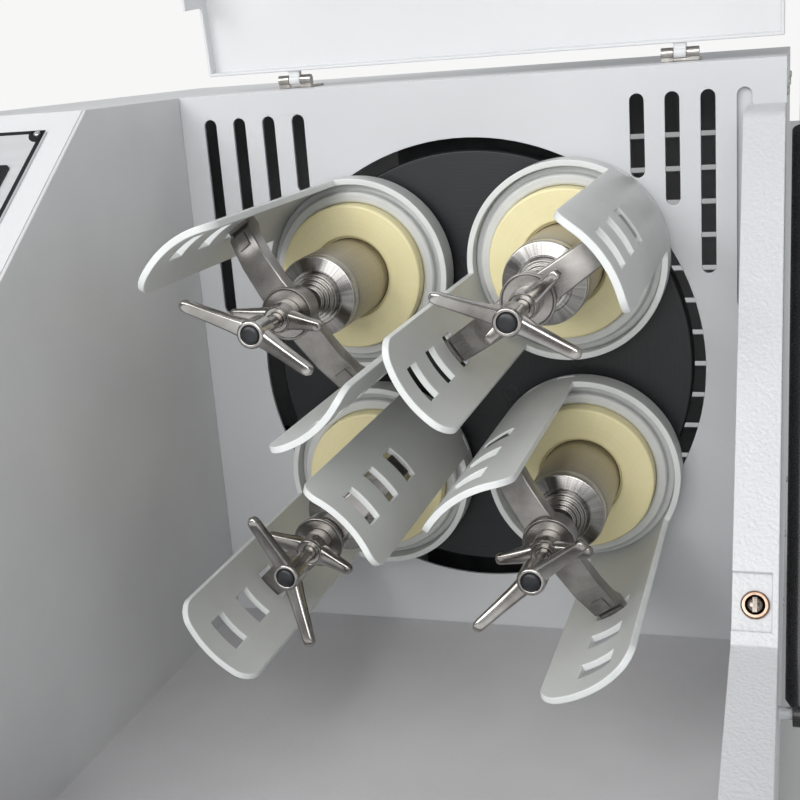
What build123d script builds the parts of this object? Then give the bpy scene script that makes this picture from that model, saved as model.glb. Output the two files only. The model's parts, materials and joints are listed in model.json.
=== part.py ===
# Horizontal planetary ball mill: a bench machine whose lid stands open over the grinding chamber.
# Millimetres, +Z up, the front faces -Y. The origin is under the middle of the machine, on the bench.
# The wheel turns about a line along Y, and depths are counted forward from the back panel's front face.

from build123d import *
from math import cos, hypot, radians, sin, tan
import os

os.makedirs("parts", exist_ok=True)

# Cabinet
cabinet_left = -340.0
cabinet_right = 316.0
cabinet_front = -400.0
cabinet_rear = 400.0
foot_height = 25.0
foot_radius = 22.0
foot_inset = 50.0
base_top = 74.0
sheet = 2.0
chamber_sheet = 3.0
seam = 0.3

# Wheel axis and back panel
wheel_x = 66.0
axis_height = 315.0
cabinet_rise = 236.0
cabinet_top = axis_height + cabinet_rise
panel_y = 30.0
panel_sheet = 3.0
hole_radius = 190.0

# Chamber walls, from the wheel axis
left_wall_reach = 246.0
right_wall_reach = 222.0
right_wall_width = 28.0
right_wall_skin = 2.5
right_wall_face = 12.0
post_top_y = -59.0
post_top_z = cabinet_top - 33.0
post_knee_y = -252.0
post_knee_z = 215.0
post_front_z = 192.0
post_crown = 9.0
sill_height = 48.0

# Console slope on the left
slope_top_y = -122.0
slope_angle = 36.87
plate_margin = 20.3
plate_top_gap = 22.5
plate_length = 262.0
plate_thickness = 2.0

# Vent slots beside the hole: four each side, longer towards the outside
slot_first = 139.6
slot_pitch = 26.7
slot_width = 11.0
slot_top = 216.0
slot_bottoms = [152.0, 130.0, 76.0, 48.0]

# Lid and its hinge
lid_sheet = 2.5
lid_gap = 3.0
lid_rise = 15.0
lid_top = cabinet_top + lid_rise
lid_rear_y = 86.0
lid_brow_y = -240.0
lid_chin_z = 262.0
lid_open_angle = 85.0
lid_inset = 2.5
lid_chin_bottom = 128.0
hinge_y = 94.0
hinge_rise = 7.0
hinge_z = cabinet_top + hinge_rise
hinge_radius = 4.2
hinge_pin_radius = 2.2
hinge_length = 30.0
hinge_leaf = 2.0
hinge_inset = 80.0
hinge_leaf_depth = 30.0

# Grab handle on the lid's front
grab_length = 130.0
grab_radius = 7.0
grab_post_radius = 5.0
grab_reach = 26.0
grab_z = 185.0

# Gas strut on the right-hand side
strut_x = 329.0
strut_reach = 340.0
strut_base_y = -240.0
strut_base_z = 165.0
strut_stud_y = 10.0
strut_stud_z = cabinet_top - 16.0
strut_radius = 9.0
strut_wall = 1.5
strut_length = 400.0
strut_end_wall = 8.0
strut_eye_radius = 8.0
strut_eye_width = 9.0
stud_radius = 4.0
rod_radius = 4.0
rod_inner_end = 340.0
piston_length = 8.0

# Lid lock in the right-hand post
lock_from_knee = 25.5
lock_shift = 2.0
lock_recess_from_knee = 27.0
lock_recess_length = 36.0
lock_recess_depth = 5.0
lock_recess_rim = 4.0
lock_ring_radius = 8.8
lock_bore_radius = 6.0
lock_body_length = 10.0
lock_ring_height = 2.2
lock_head_height = 3.0
lock_travel = 3.0
lock_slot = 2.6
lock_slot_depth = 1.5
lock_tube_wall = 1.2

# Wheel
wheel_radius = 179.6
wheel_thickness = 16.0
wheel_setback = 9.6
wheel_bevel = 1.5
station_radius = 125.0
station_angle = 47.3
shaft_radius = 20.0
shaft_end_length = 6.0
shaft_flange_radius = 45.0
shaft_flange_thickness = 11.0
running_clearance = 0.06
press_gap = 0.05

# Planets, by depth forward of the panel
planet_shaft_radius = 15.0
shaft_hole_gap = 1.0
seat_back = 4.0
seat_floor = 12.0
seat_hub_radius = 40.0
cage_back = 3.0
cage_radius = 79.5
cage_wall = 5.0
cage_rim = 27.0
groove_floor = 16.0
ring_inner_radius = 60.0
ring_outer_radius = 68.5
ring_front = 25.0
ear_tip = 262.0
ear_width = 77.0
ear_corner = 14.0
window_width = 28.0
window_depth = 19.0
window_first = 143.0
window_pitch = 44.0
drain_length = 14.7
drain_width = 3.0
drain_depth = 9.0
drain_spacing = 21.5

# Jar and its adapter
adapter_radius = 59.6
adapter_bore = 33.5
adapter_front = 36.5
adapter_bevel = 3.0
jar_radius = 31.5
jar_wall = 4.0
jar_mouth = 106.0
jar_lid_skirt = 8.0
jar_lid_edge_radius = 31.3
jar_lid_front = 118.0
jar_lid_shoulder = 115.0
jar_lid_face_radius = 20.5
fit_gap = 0.3

# Clamp
bar_length = 157.0
bar_width = 24.0
bar_end_width = 19.5
bar_thickness = 14.0
bar_crest = 170.5
bar_crest_half = 22.0
bar_shoulder = (45.0, 167.5)
bar_slope_end = (68.0, 158.5)
bar_tongue = 71.5
bar_belly = [(20.0, 158.0), (45.0, 153.5), (60.0, 147.0), (68.0, 138.2)]
bar_pad_length = 10.5
bar_pad_width = 10.0
bar_pad_height = 1.2
bar_pad_centre = 61.5
boss_radius = 17.2
boss_front = 176.0
boss_rim_radius = 19.5
boss_rim_width = 4.0
pad_radii = [18.5, 16.0, 13.5, 11.0]
pad_step = 3.6
screw_radius = 5.5
screw_tip = 124.0
screw_clearance = 0.08
hub_back = 222.0
hub_front = 242.0
hub_radius = 10.0
cap_radius = 6.2
cap_height = 1.2
handle_reach = 51.5
handle_root_radius = 5.2
handle_tip_radius = 3.4
handle_tilt = 18.0
handle_depth = 233.0
nut_radius = 11.0
nut_collar_radius = 10.0
nut_shoulder = 190.0
nut_front = 196.0
nut_reach = 35.5
nut_root_radius = 5.4
nut_tip_radius = 3.3
nut_tilt = 13.0
nut_arm_depth = 189.0

# The four stations, counted round the wheel from the upper right: bar, handle and lock nut angles
bar_angles = [34.3, 126.5, 42.2, 122.5]
handle_angles = [157.6, 152.3, 110.4, 40.7]
nut_angles = [42.5, 171.6, 159.0, 8.0]
# Each bar's own turn in the play of its windows
bar_turns = [0.0, -2.0, 0.0, 0.0]

# Drive behind the wheel, by depth behind the panel
bearing_flange_radius = 38.0
bearing_flange_thickness = 5.0
bearing_body_radius = 28.0
bearing_end = 72.0
sun_pulley_radius = 54.0
planet_pulley_radius = 27.0
pulley_first = 78.0
pulley_width = 9.0
pulley_pitch = 11.0
belt_thickness = 2.6
belt_lift = 0.3
belt_edge_gap = 0.5
housing_front = 74.0
housing_radius = 32.0
housing_flange_radius = 60.0
housing_flange_thickness = 12.0
housing_rear = 182.0
bearing_plate_front = 146.0
bearing_plate_thickness = 10.0
bearing_plate_half_width = 100.0
bearing_plate_top = cabinet_top - 51.0
gusset_reach = 92.0
gusset_depth = 150.0
gusset_height = 230.0
gusset_thickness = 8.0
driven_front = 188.0
driven_width = 24.0
driven_radius = 85.0
driven_hole_radius = 14.0
motor_drop = 185.0
motor_pulley_radius = 32.0
motor_radius = 65.0
motor_front = 222.0
motor_length = 130.0
motor_shaft_radius = 12.0
motor_foot_width = 120.0
motor_fin_height = 5.0
motor_fins = 24
motor_fin_width = 2.5
motor_cap = 12.0
motor_fan_cover = 28.0
motor_socket = 20.0
drive_belt_thickness = 6.0
drive_belt_width = 20.0

# Rear louvres, inlet and inverter
louvre_pitch = 35.4
louvre_count = 11
louvre_first = 155.1
louvre_height = 5.0
louvre_spans = [(60.0, 200.0), (-235.0, -95.0)]
inlet_x = -280.0
inlet_z = 120.0
inlet_width = 50.0
inlet_height = 28.0
inlet_depth = 32.0
inlet_flange = 3.0
inlet_lip = 8.0
inlet_wall = 3.0
pin_length = 20.0
pin_pitch = 14.0
pin_width = 2.0
pin_height = 6.0
rocker_x = -222.0
rocker_width = 14.0
rocker_height = 22.0
rocker_case_width = 20.0
rocker_pivot_depth = 8.0
rocker_clearance = 1.5
inverter_size = (110.0, 140.0, 200.0)
inverter_x = -250.0
inverter_y = -130.0
inverter_fin_pitch = 10.0
inverter_fin_gap = 4.0
inverter_fin_height = 8.0
inverter_fin_margin = 12.0
inverter_fins = 9

# Controls on the console plate, by place from the plate's middle
display_width = 88.0
display_height = 62.0
display_up = 62.0
bezel = 5.0
start_place = (-30.0, -8.0)
stop_place = (30.0, -8.0)
emergency_place = (0.0, -72.0)
button_radius = 11.0
button_height = 6.0
button_travel = 3.0
emergency_radius = 20.0
emergency_height = 22.0
emergency_travel = 5.0
stem_radius = 7.0
stem_length = 22.0
stem_clearance = 0.5

# Worked out from the sizes above
left_wall_x = wheel_x - left_wall_reach
right_wall_x = wheel_x + right_wall_reach
floor_z = base_top + chamber_sheet
slope_run = slope_top_y - cabinet_front
console_front_top = cabinet_top - slope_run * tan(radians(slope_angle))
base_floor = foot_height + sheet
bearing_plate_y = panel_y + bearing_plate_front
bar_front = window_first + window_depth / 2 - fit_gap
bar_back = bar_front - bar_thickness
pulley_levels = [pulley_first + pulley_pitch * k for k in range(4)]
planet_shaft_end = pulley_levels[-1] + pulley_width + 3.0
seat_radius = cage_radius - cage_wall - press_gap
motor_z = axis_height - motor_drop

slope_across = (1, 0, 0)
slope_out = (0, -sin(radians(slope_angle)), cos(radians(slope_angle)))
post_run = hypot(post_top_y - post_knee_y, post_top_z - post_knee_z)
post_up = (0, (post_top_y - post_knee_y) / post_run, (post_top_z - post_knee_z) / post_run)
post_out = (0, -post_up[2], post_up[1])


def save(part, label):
    # Label one finished piece and write it
    part.label = label
    export_step(part, f"parts/{label}.step")


def depth_plane(x, z, depth):
    # A plane facing the front, at a depth forward of the back panel; its x is X and its y is Z
    return Plane(origin=(x, panel_y - depth, z), x_dir=(1, 0, 0), z_dir=(0, -1, 0))


def disc(plane, radius, length, bore=0.0, mode=Mode.ADD):
    # A round piece or step that stands on a plane, with a bore where one is given
    with BuildSketch(plane) as face:
        Circle(radius)
        if bore > 0:
            Circle(bore, mode=Mode.SUBTRACT)
    extrude(face.sketch, amount=length, mode=mode)


def side_profile(points, x):
    # A closed outline in Y and Z, on a plane across the machine at x
    with BuildSketch(Plane.YZ.offset(x)) as profile:
        with BuildLine():
            Polyline(*points, close=True)
        make_face()
    return profile.sketch


def turned(x, z, points):
    # A round piece about a line along Y, from its half outline in radius and depth
    with BuildSketch(Plane(origin=(x, panel_y, z), x_dir=(1, 0, 0), z_dir=(0, 0, -1))) as section:
        with BuildLine():
            Polyline(*points, close=True)
        make_face()
    revolve(section.sketch, axis=Axis((x, panel_y, z), (0, -1, 0)))


def arm(x, z, depth, angle, tilt, reach, root, tip):
    # A tapered arm with a round end, turned to its angle and tilted forward
    length = reach / cos(radians(tilt))
    along = (
        cos(radians(angle)) * cos(radians(tilt)),
        -sin(radians(tilt)),
        sin(radians(angle)) * cos(radians(tilt)),
    )
    across = (-sin(radians(angle)), 0, cos(radians(angle)))
    start = (x, panel_y - depth, z)
    with BuildSketch(Plane(origin=start, x_dir=along, z_dir=across)) as section:
        with BuildLine():
            Polyline((length, 0), (0, 0), (0, root), (length - tip, tip))
            RadiusArc((length - tip, tip), (length, 0), tip)
        make_face()
    revolve(section.sketch, axis=Axis(start, along))


# Feet: four rubber pads under the corners of the base
foot_places = [
    (x, y)
    for x in (cabinet_left + foot_inset, cabinet_right - foot_inset)
    for y in (cabinet_front + foot_inset, cabinet_rear - foot_inset)
]
with BuildPart() as feet:
    with BuildSketch():
        with Locations(*foot_places):
            Circle(foot_radius)
    extrude(amount=foot_height, taper=4)
save(feet.part, "feet")

# Base pan: a folded tray that carries everything
cabinet_width = cabinet_right - cabinet_left
cabinet_depth = cabinet_rear - cabinet_front
cabinet_mid_x = (cabinet_left + cabinet_right) / 2
cabinet_mid_y = (cabinet_front + cabinet_rear) / 2
base_plane = Plane((cabinet_mid_x, cabinet_mid_y, foot_height))
with BuildPart() as base_pan:
    with BuildSketch(base_plane):
        Rectangle(cabinet_width, cabinet_depth)
    extrude(amount=base_top - seam - foot_height)
    with BuildSketch(base_plane.offset(sheet)):
        Rectangle(cabinet_width - 2 * sheet, cabinet_depth - 2 * sheet)
    extrude(amount=base_top, mode=Mode.SUBTRACT)
save(base_pan.part, "base_pan")

# Chamber: floor, side walls and front sill, welded from sheet, with the boxed post on the right
post_outline = [
    (cabinet_front, base_top),
    (panel_y - seam, base_top),
    (panel_y - seam, post_top_z),
    (post_top_y, post_top_z),
    (post_knee_y, post_knee_z),
    (cabinet_front, post_front_z),
]
console_outline = [
    (cabinet_front, base_top),
    (panel_y - seam, base_top),
    (panel_y - seam, cabinet_top),
    (slope_top_y, cabinet_top),
    (cabinet_front, console_front_top),
]
lock_y = post_knee_y + lock_from_knee * post_up[1]
lock_z = post_knee_z + lock_from_knee * post_up[2]
recess_inner = right_wall_x - 1.0
recess_outer = right_wall_x + right_wall_width - lock_recess_rim
lock_x = (right_wall_x + recess_outer) / 2 + lock_shift
lock_plane = Plane(origin=(lock_x, lock_y, lock_z), x_dir=(1, 0, 0), z_dir=post_out)
recess_plane = Plane(
    origin=(
        (recess_inner + recess_outer) / 2,
        post_knee_y + lock_recess_from_knee * post_up[1],
        post_knee_z + lock_recess_from_knee * post_up[2],
    ),
    x_dir=(1, 0, 0),
    z_dir=post_out,
)
with BuildPart() as chamber:
    floor_plane = Plane.XY.offset(base_top)
    with BuildSketch(floor_plane):
        with Locations(((left_wall_x - chamber_sheet + cabinet_right) / 2, (cabinet_front + panel_y) / 2)):
            Rectangle(cabinet_right - left_wall_x + chamber_sheet, panel_y - cabinet_front - 2 * seam)
    extrude(amount=chamber_sheet)
    extrude(side_profile(console_outline, left_wall_x - chamber_sheet), amount=chamber_sheet)
    extrude(side_profile(post_outline, right_wall_x), amount=right_wall_width)
    crown = chamber.edges().filter_by(Axis.X).filter_by_position(Axis.Z, post_top_z - 0.1, post_top_z + 0.1)
    fillet(crown.sort_by(Axis.Y)[0], radius=post_crown)
    with BuildSketch(Plane.XZ.offset(-cabinet_front)):
        with Locations(((left_wall_x + right_wall_x) / 2, floor_z + sill_height / 2)):
            Rectangle(right_wall_reach + left_wall_reach, sill_height)
    extrude(amount=-chamber_sheet)
    # The post is a closed box of sheet, thick behind its sloped face and open at the back panel
    with BuildSketch(Plane.YZ.offset(right_wall_x + right_wall_skin)):
        with BuildLine():
            Polyline(
                (panel_y, floor_z + right_wall_skin),
                (panel_y, post_top_z - right_wall_face),
                (post_top_y + right_wall_face, post_top_z - right_wall_face),
                (post_knee_y + right_wall_face, post_knee_z - right_wall_face),
                (cabinet_front + right_wall_face, post_front_z - right_wall_face),
                (cabinet_front + right_wall_face, floor_z + right_wall_skin),
                close=True,
            )
        make_face()
    extrude(amount=right_wall_width - 2 * right_wall_skin, mode=Mode.SUBTRACT)
    with BuildSketch(recess_plane):
        Rectangle(recess_outer - recess_inner, lock_recess_length)
    extrude(amount=-lock_recess_depth, mode=Mode.SUBTRACT)
    disc(lock_plane, lock_bore_radius + lock_tube_wall + fit_gap, -2 * right_wall_face, mode=Mode.SUBTRACT)
    # The stud of the strut's foot is screwed through the post from outside
    with BuildSketch(Plane.YZ.offset(cabinet_right)):
        with Locations((strut_base_y, strut_base_z)):
            Circle(stud_radius)
    extrude(amount=strut_reach - cabinet_right)
save(chamber.part, "chamber")

# Back panel: flat sheet with the round hole and two fans of vent slots
panel_width = cabinet_right - left_wall_x + chamber_sheet
with BuildPart() as back_panel:
    with BuildSketch(depth_plane(wheel_x, axis_height, 0)):
        low, high = base_top - axis_height, cabinet_top - axis_height
        with Locations(((left_wall_x - chamber_sheet + cabinet_right) / 2 - wheel_x, (low + high) / 2)):
            Rectangle(panel_width, high - low)
        Circle(hole_radius, mode=Mode.SUBTRACT)
        for k, bottom in enumerate(slot_bottoms):
            for side in (-1, 1):
                slot_x = side * (slot_first + slot_pitch * k)
                with Locations((slot_x, (slot_top + bottom) / 2)):
                    SlotOverall(slot_top - bottom, slot_width, rotation=90, mode=Mode.SUBTRACT)
    extrude(amount=-panel_sheet)
save(back_panel.part, "back_panel")

# Console shell: the left-hand box, open below, behind and towards the chamber wall
console_width = left_wall_x - chamber_sheet - seam - cabinet_left
plate_width = console_width - 2 * plate_margin
plate_x = cabinet_left + console_width / 2
plate_down = plate_top_gap + plate_length / 2
slope_down = (0, -slope_out[2], slope_out[1])
plate_y = slope_top_y + slope_down[1] * plate_down
plate_z = cabinet_top + slope_down[2] * plate_down
slope_plane = Plane(origin=(plate_x, plate_y, plate_z), x_dir=slope_across, z_dir=slope_out)
button_places = [start_place, stop_place, emergency_place]
with BuildPart() as console_shell:
    extrude(side_profile(console_outline, cabinet_left), amount=console_width)
    with BuildSketch(Plane.YZ.offset(cabinet_left + sheet)):
        with BuildLine():
            Polyline(
                (cabinet_front + sheet, base_top - 1),
                (panel_y + 1, base_top - 1),
                (panel_y + 1, cabinet_top - sheet),
                (slope_top_y + sheet * tan(radians(slope_angle / 2)), cabinet_top - sheet),
                (cabinet_front + sheet, console_front_top - sheet * tan(radians(45 - slope_angle / 2))),
                close=True,
            )
        make_face()
    extrude(amount=console_width, mode=Mode.SUBTRACT)
    with BuildSketch(slope_plane):
        with Locations(*button_places):
            Circle(stem_radius + stem_clearance)
    extrude(amount=-3 * sheet, mode=Mode.SUBTRACT)
    # The inverter that drives the motor is a finned box inside, standing on the base pan
    inverter_top = base_floor + inverter_size[2] + fit_gap
    with BuildSketch(Plane((inverter_x, inverter_y, base_floor + fit_gap))):
        RectangleRounded(inverter_size[0], inverter_size[1], 6)
    extrude(amount=inverter_size[2])
    with BuildSketch(Plane((inverter_x, inverter_y, inverter_top))):
        with GridLocations(inverter_fin_pitch, 1, inverter_fins, 1):
            Rectangle(inverter_fin_gap, inverter_size[1] - 2 * inverter_fin_margin)
    extrude(amount=-inverter_fin_height, mode=Mode.SUBTRACT)
save(console_shell.part, "console_shell")

# Control plate: a thin plate screwed on the slope, with a raised bezel round the display
with BuildPart() as control_plate:
    with BuildSketch(slope_plane.offset(fit_gap / 3)):
        RectangleRounded(plate_width, plate_length, 3)
        with Locations(*button_places):
            Circle(stem_radius + stem_clearance, mode=Mode.SUBTRACT)
    extrude(amount=plate_thickness)
    with BuildSketch(slope_plane.offset(plate_thickness)):
        with Locations((0, display_up)):
            RectangleRounded(display_width, display_height, 4)
            RectangleRounded(display_width - 2 * bezel, display_height - 2 * bezel, 2, mode=Mode.SUBTRACT)
    extrude(amount=plate_thickness)
save(control_plate.part, "control_plate")


def push_button(place, radius, height, travel):
    # A cap on a stem that goes through the plate and the slope
    plate_face = slope_plane.offset(fit_gap / 3 + plate_thickness)
    with BuildPart() as button:
        with BuildSketch(plate_face.offset(travel + fit_gap)):
            with Locations(place):
                Circle(radius)
        extrude(amount=height)
        fillet(button.edges().sort_by(Axis((0, 0, 0), slope_out))[-1], radius=height * 0.3)
        with BuildSketch(plate_face.offset(travel + fit_gap)):
            with Locations(place):
                Circle(stem_radius)
        extrude(amount=-stem_length)
    return button.part


save(push_button(start_place, button_radius, button_height, button_travel), "start_button")
save(push_button(stop_place, button_radius, button_height, button_travel), "stop_button")
emergency = push_button(emergency_place, emergency_radius, emergency_height, emergency_travel)
save(emergency, "emergency_stop")

# Rear cover: top, sides and louvred back in one folded shell, open below and in front
rear_y = panel_y + panel_sheet + seam
with BuildPart() as rear_cover:
    with BuildSketch(Plane.XY.offset(base_top)):
        with Locations((cabinet_mid_x, (rear_y + cabinet_rear) / 2)):
            Rectangle(cabinet_width, cabinet_rear - rear_y)
    extrude(amount=cabinet_top - base_top)
    with BuildSketch(Plane.XY.offset(base_top)):
        with Locations((cabinet_mid_x, (rear_y + cabinet_rear) / 2 - sheet)):
            Rectangle(cabinet_width - 2 * sheet, cabinet_rear - rear_y)
    extrude(amount=cabinet_top - base_top - sheet, mode=Mode.SUBTRACT)
    with BuildSketch(Plane.XZ.offset(-cabinet_rear)):
        for k in range(louvre_count):
            for low, high in louvre_spans:
                centre_z = axis_height + louvre_first - louvre_pitch * k
                with Locations((wheel_x + (low + high) / 2, centre_z)):
                    SlotOverall(high - low, louvre_height)
        with Locations((inlet_x, inlet_z)):
            Rectangle(inlet_width + 2 * seam, inlet_height + 2 * seam)
        with Locations((rocker_x, inlet_z)):
            Rectangle(rocker_case_width + 2 * seam, inlet_height + 2 * seam)
    extrude(amount=3 * sheet, mode=Mode.SUBTRACT)
save(rear_cover.part, "rear_cover")

# Power inlet: a three-pin socket and the rocker's case on one moulded flange inside the rear cover
inlet_mid_x = (inlet_x + rocker_x) / 2
inlet_inside = Plane.XZ.offset(-(cabinet_rear - sheet - fit_gap))
with BuildPart() as power_inlet:
    with BuildSketch(inlet_inside):
        with Locations((inlet_mid_x, inlet_z)):
            Rectangle(rocker_x - inlet_x + inlet_width + 3 * inlet_lip, inlet_height + 2 * inlet_lip)
    extrude(amount=inlet_flange)
    with BuildSketch(inlet_inside.offset(inlet_flange)):
        with Locations((inlet_x, inlet_z)):
            Rectangle(inlet_width, inlet_height)
        with Locations((rocker_x, inlet_z)):
            Rectangle(rocker_case_width, inlet_height)
    extrude(amount=-(inlet_flange + fit_gap + sheet))
    with BuildSketch(inlet_inside.offset(inlet_flange)):
        with Locations((inlet_x, inlet_z)):
            Rectangle(inlet_width, inlet_height)
        with Locations((rocker_x, inlet_z)):
            Rectangle(rocker_case_width, inlet_height)
    extrude(amount=inlet_depth - inlet_flange)
    with BuildSketch(inlet_inside.offset(-fit_gap - sheet)):
        with Locations((inlet_x, inlet_z)):
            Rectangle(inlet_width - 2 * inlet_wall, inlet_height - 2 * inlet_wall)
        with Locations((rocker_x, inlet_z)):
            Rectangle(rocker_width + 1, rocker_height + 1)
    extrude(amount=inlet_depth - 2 * inlet_wall, mode=Mode.SUBTRACT)
    with BuildSketch(inlet_inside.offset(inlet_depth - 2 * inlet_wall)):
        with Locations((inlet_x, inlet_z)):
            with GridLocations(pin_pitch, 1, 3, 1):
                Rectangle(pin_width, pin_height)
    extrude(amount=-pin_length)
save(power_inlet.part, "power_inlet")

# Rocker of the mains switch, turning on its two side pips
rocker_y = cabinet_rear - rocker_pivot_depth
rocker_half = rocker_height / 2 - rocker_clearance
with BuildPart() as power_switch:
    with BuildSketch(Plane.YZ.offset(rocker_x - rocker_width / 2)):
        with BuildLine():
            Polyline(
                (rocker_y - 5.0, inlet_z),
                (rocker_y + 5.0, inlet_z - rocker_half),
                (rocker_y + 5.5, inlet_z),
                (rocker_y + 7.0, inlet_z + rocker_half),
                close=True,
            )
        make_face()
    extrude(amount=rocker_width)
save(power_switch.part, "power_switch")

# Main bearing: a thick upright plate, the housing bolted to it, and the still sun pulley on its nose
with BuildPart() as main_bearing:
    plate_front_plane = depth_plane(wheel_x, 0, -bearing_plate_front)
    with BuildSketch(plate_front_plane):
        with Locations((0, (base_floor + fit_gap + bearing_plate_top) / 2)):
            Rectangle(2 * bearing_plate_half_width, bearing_plate_top - base_floor - fit_gap)
        with Locations((0, axis_height)):
            Circle(housing_radius + fit_gap, mode=Mode.SUBTRACT)
    extrude(amount=-bearing_plate_thickness)
    for side in (-1, 1):
        gusset_x = wheel_x + side * gusset_reach - gusset_thickness / 2
        gusset = [
            (bearing_plate_y + bearing_plate_thickness / 2, base_floor + fit_gap),
            (bearing_plate_y + gusset_depth, base_floor + fit_gap),
            (bearing_plate_y + bearing_plate_thickness / 2, base_floor + gusset_height),
        ]
        extrude(side_profile(gusset, gusset_x), amount=gusset_thickness)
    bore = shaft_radius + running_clearance
    nose = depth_plane(wheel_x, axis_height, -housing_front)
    disc(nose, housing_radius, -(housing_rear - housing_front), bore)
    flange_depth = bearing_plate_front - housing_flange_thickness - fit_gap
    disc(
        depth_plane(wheel_x, axis_height, -flange_depth),
        housing_flange_radius,
        -housing_flange_thickness,
        housing_radius - 1,
    )
    disc(
        depth_plane(wheel_x, axis_height, -pulley_first),
        sun_pulley_radius,
        -(pulley_levels[-1] + pulley_width - pulley_first),
        housing_radius + press_gap,
    )
save(main_bearing.part, "main_bearing")

# Wheel: a thick dark disc with four shaft holes, bolted to the flange of the main shaft
station_places = [
    (
        wheel_x + station_radius * cos(radians(station_angle + 90 * k)),
        axis_height + station_radius * sin(radians(station_angle + 90 * k)),
    )
    for k in range(4)
]
local_places = [(x - wheel_x, z - axis_height) for x, z in station_places]
with BuildPart() as wheel_disc:
    with BuildSketch(depth_plane(wheel_x, axis_height, -wheel_setback)):
        Circle(wheel_radius)
        with Locations(*local_places):
            Circle(planet_shaft_radius + shaft_hole_gap, mode=Mode.SUBTRACT)
    extrude(amount=-wheel_thickness)
    rim = wheel_disc.edges().filter_by(GeomType.CIRCLE).group_by(SortBy.RADIUS)[-1]
    chamfer(rim, length=wheel_bevel)
save(wheel_disc.part, "wheel_disc")

# Wheel shaft with its flange and driven pulley
wheel_back = wheel_setback + wheel_thickness
with BuildPart() as wheel_shaft:
    disc(
        depth_plane(wheel_x, axis_height, -(wheel_back + seam)),
        shaft_flange_radius,
        -shaft_flange_thickness,
    )
    disc(
        depth_plane(wheel_x, axis_height, -(wheel_back + seam)),
        shaft_radius,
        -(driven_front + driven_width + shaft_end_length - wheel_back - seam),
    )
    driven_plane = depth_plane(wheel_x, axis_height, -driven_front)
    disc(driven_plane, driven_radius, -driven_width, shaft_radius + press_gap)
    with BuildSketch(driven_plane):
        with PolarLocations((driven_radius + shaft_radius) / 2, 5):
            Circle(driven_hole_radius)
    extrude(amount=-driven_width, mode=Mode.SUBTRACT)
    # Four flanged planet bearings, bolted behind the wheel
    for x, z in station_places:
        back = depth_plane(x, z, -(wheel_back + seam))
        disc(back, bearing_flange_radius, -bearing_flange_thickness)
        disc(back, bearing_body_radius, -(bearing_end - wheel_back - seam))
        disc(back, planet_shaft_radius + running_clearance, -bearing_end, mode=Mode.SUBTRACT)
save(wheel_shaft.part, "wheel_shaft")


def belt(plane, first, first_radius, second, second_radius, thickness, width):
    # A belt round two pulleys, as one closed band
    for grow, mode in ((belt_lift + thickness, Mode.ADD), (belt_lift, Mode.SUBTRACT)):
        with BuildSketch(plane) as band:
            with Locations(first):
                Circle(first_radius + grow)
            with Locations(second):
                Circle(second_radius + grow)
            make_hull()
        extrude(band.sketch, amount=-width, mode=mode)


# Planet belts: one from the still sun pulley to each planet, each at its own level
with BuildPart() as planet_belts:
    for place, level in zip(local_places, pulley_levels):
        with BuildPart(mode=Mode.PRIVATE) as one_belt:
            belt(
                depth_plane(wheel_x, axis_height, -(level + belt_edge_gap)),
                (0, 0),
                sun_pulley_radius,
                place,
                planet_pulley_radius,
                belt_thickness,
                pulley_width - 2 * belt_edge_gap,
            )
        add(one_belt.part)
save(planet_belts.part, "planet_belts")

# Motor with its fins and foot, low behind the bearing plate, and its shaft with the small pulley
motor_plane = depth_plane(wheel_x, motor_z, -motor_front)
with BuildPart() as motor:
    disc(motor_plane, motor_radius - motor_fin_height, -motor_length)
    with BuildSketch(motor_plane.offset(-motor_cap)):
        with PolarLocations(motor_radius - motor_fin_height, motor_fins):
            Rectangle(2 * motor_fin_height, motor_fin_width)
    extrude(amount=-(motor_length - motor_cap - motor_fan_cover))
    disc(motor_plane, motor_radius, -motor_cap)
    disc(motor_plane.offset(motor_fan_cover - motor_length), motor_radius, -motor_fan_cover)
    with BuildSketch(Plane((wheel_x, panel_y + motor_front + motor_length / 2, base_floor + fit_gap))):
        Rectangle(motor_foot_width, motor_length - motor_cap - motor_fan_cover)
    extrude(amount=motor_z - motor_radius + 2 * motor_fin_height - base_floor - fit_gap)
    disc(motor_plane, motor_shaft_radius + running_clearance, -motor_socket, mode=Mode.SUBTRACT)
save(motor.part, "motor")

with BuildPart() as motor_pulley:
    disc(depth_plane(wheel_x, motor_z, -driven_front), motor_pulley_radius, -driven_width)
    disc(
        depth_plane(wheel_x, motor_z, -driven_front),
        motor_shaft_radius,
        -(motor_front + motor_socket - fit_gap - driven_front),
    )
save(motor_pulley.part, "motor_pulley")

with BuildPart() as drive_belt:
    belt(
        depth_plane(wheel_x, axis_height, -(driven_front + (driven_width - drive_belt_width) / 2)),
        (0, 0),
        driven_radius,
        (0, -motor_drop),
        motor_pulley_radius,
        drive_belt_thickness,
        drive_belt_width,
    )
save(drive_belt.part, "drive_belt")

# Lid lock's plunger: a slotted head on a short body, guided by the ring in the post
lock_floor = lock_plane.offset(-lock_recess_depth)
with BuildPart() as lock_plunger:
    head = lock_floor.offset(lock_head_height)
    disc(head, lock_bore_radius - running_clearance, lock_travel - lock_body_length)
    with BuildSketch(head):
        Rectangle(lock_slot, 3 * lock_bore_radius)
    extrude(amount=-lock_slot_depth, mode=Mode.SUBTRACT)
save(lock_plunger.part, "lock_plunger")

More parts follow.
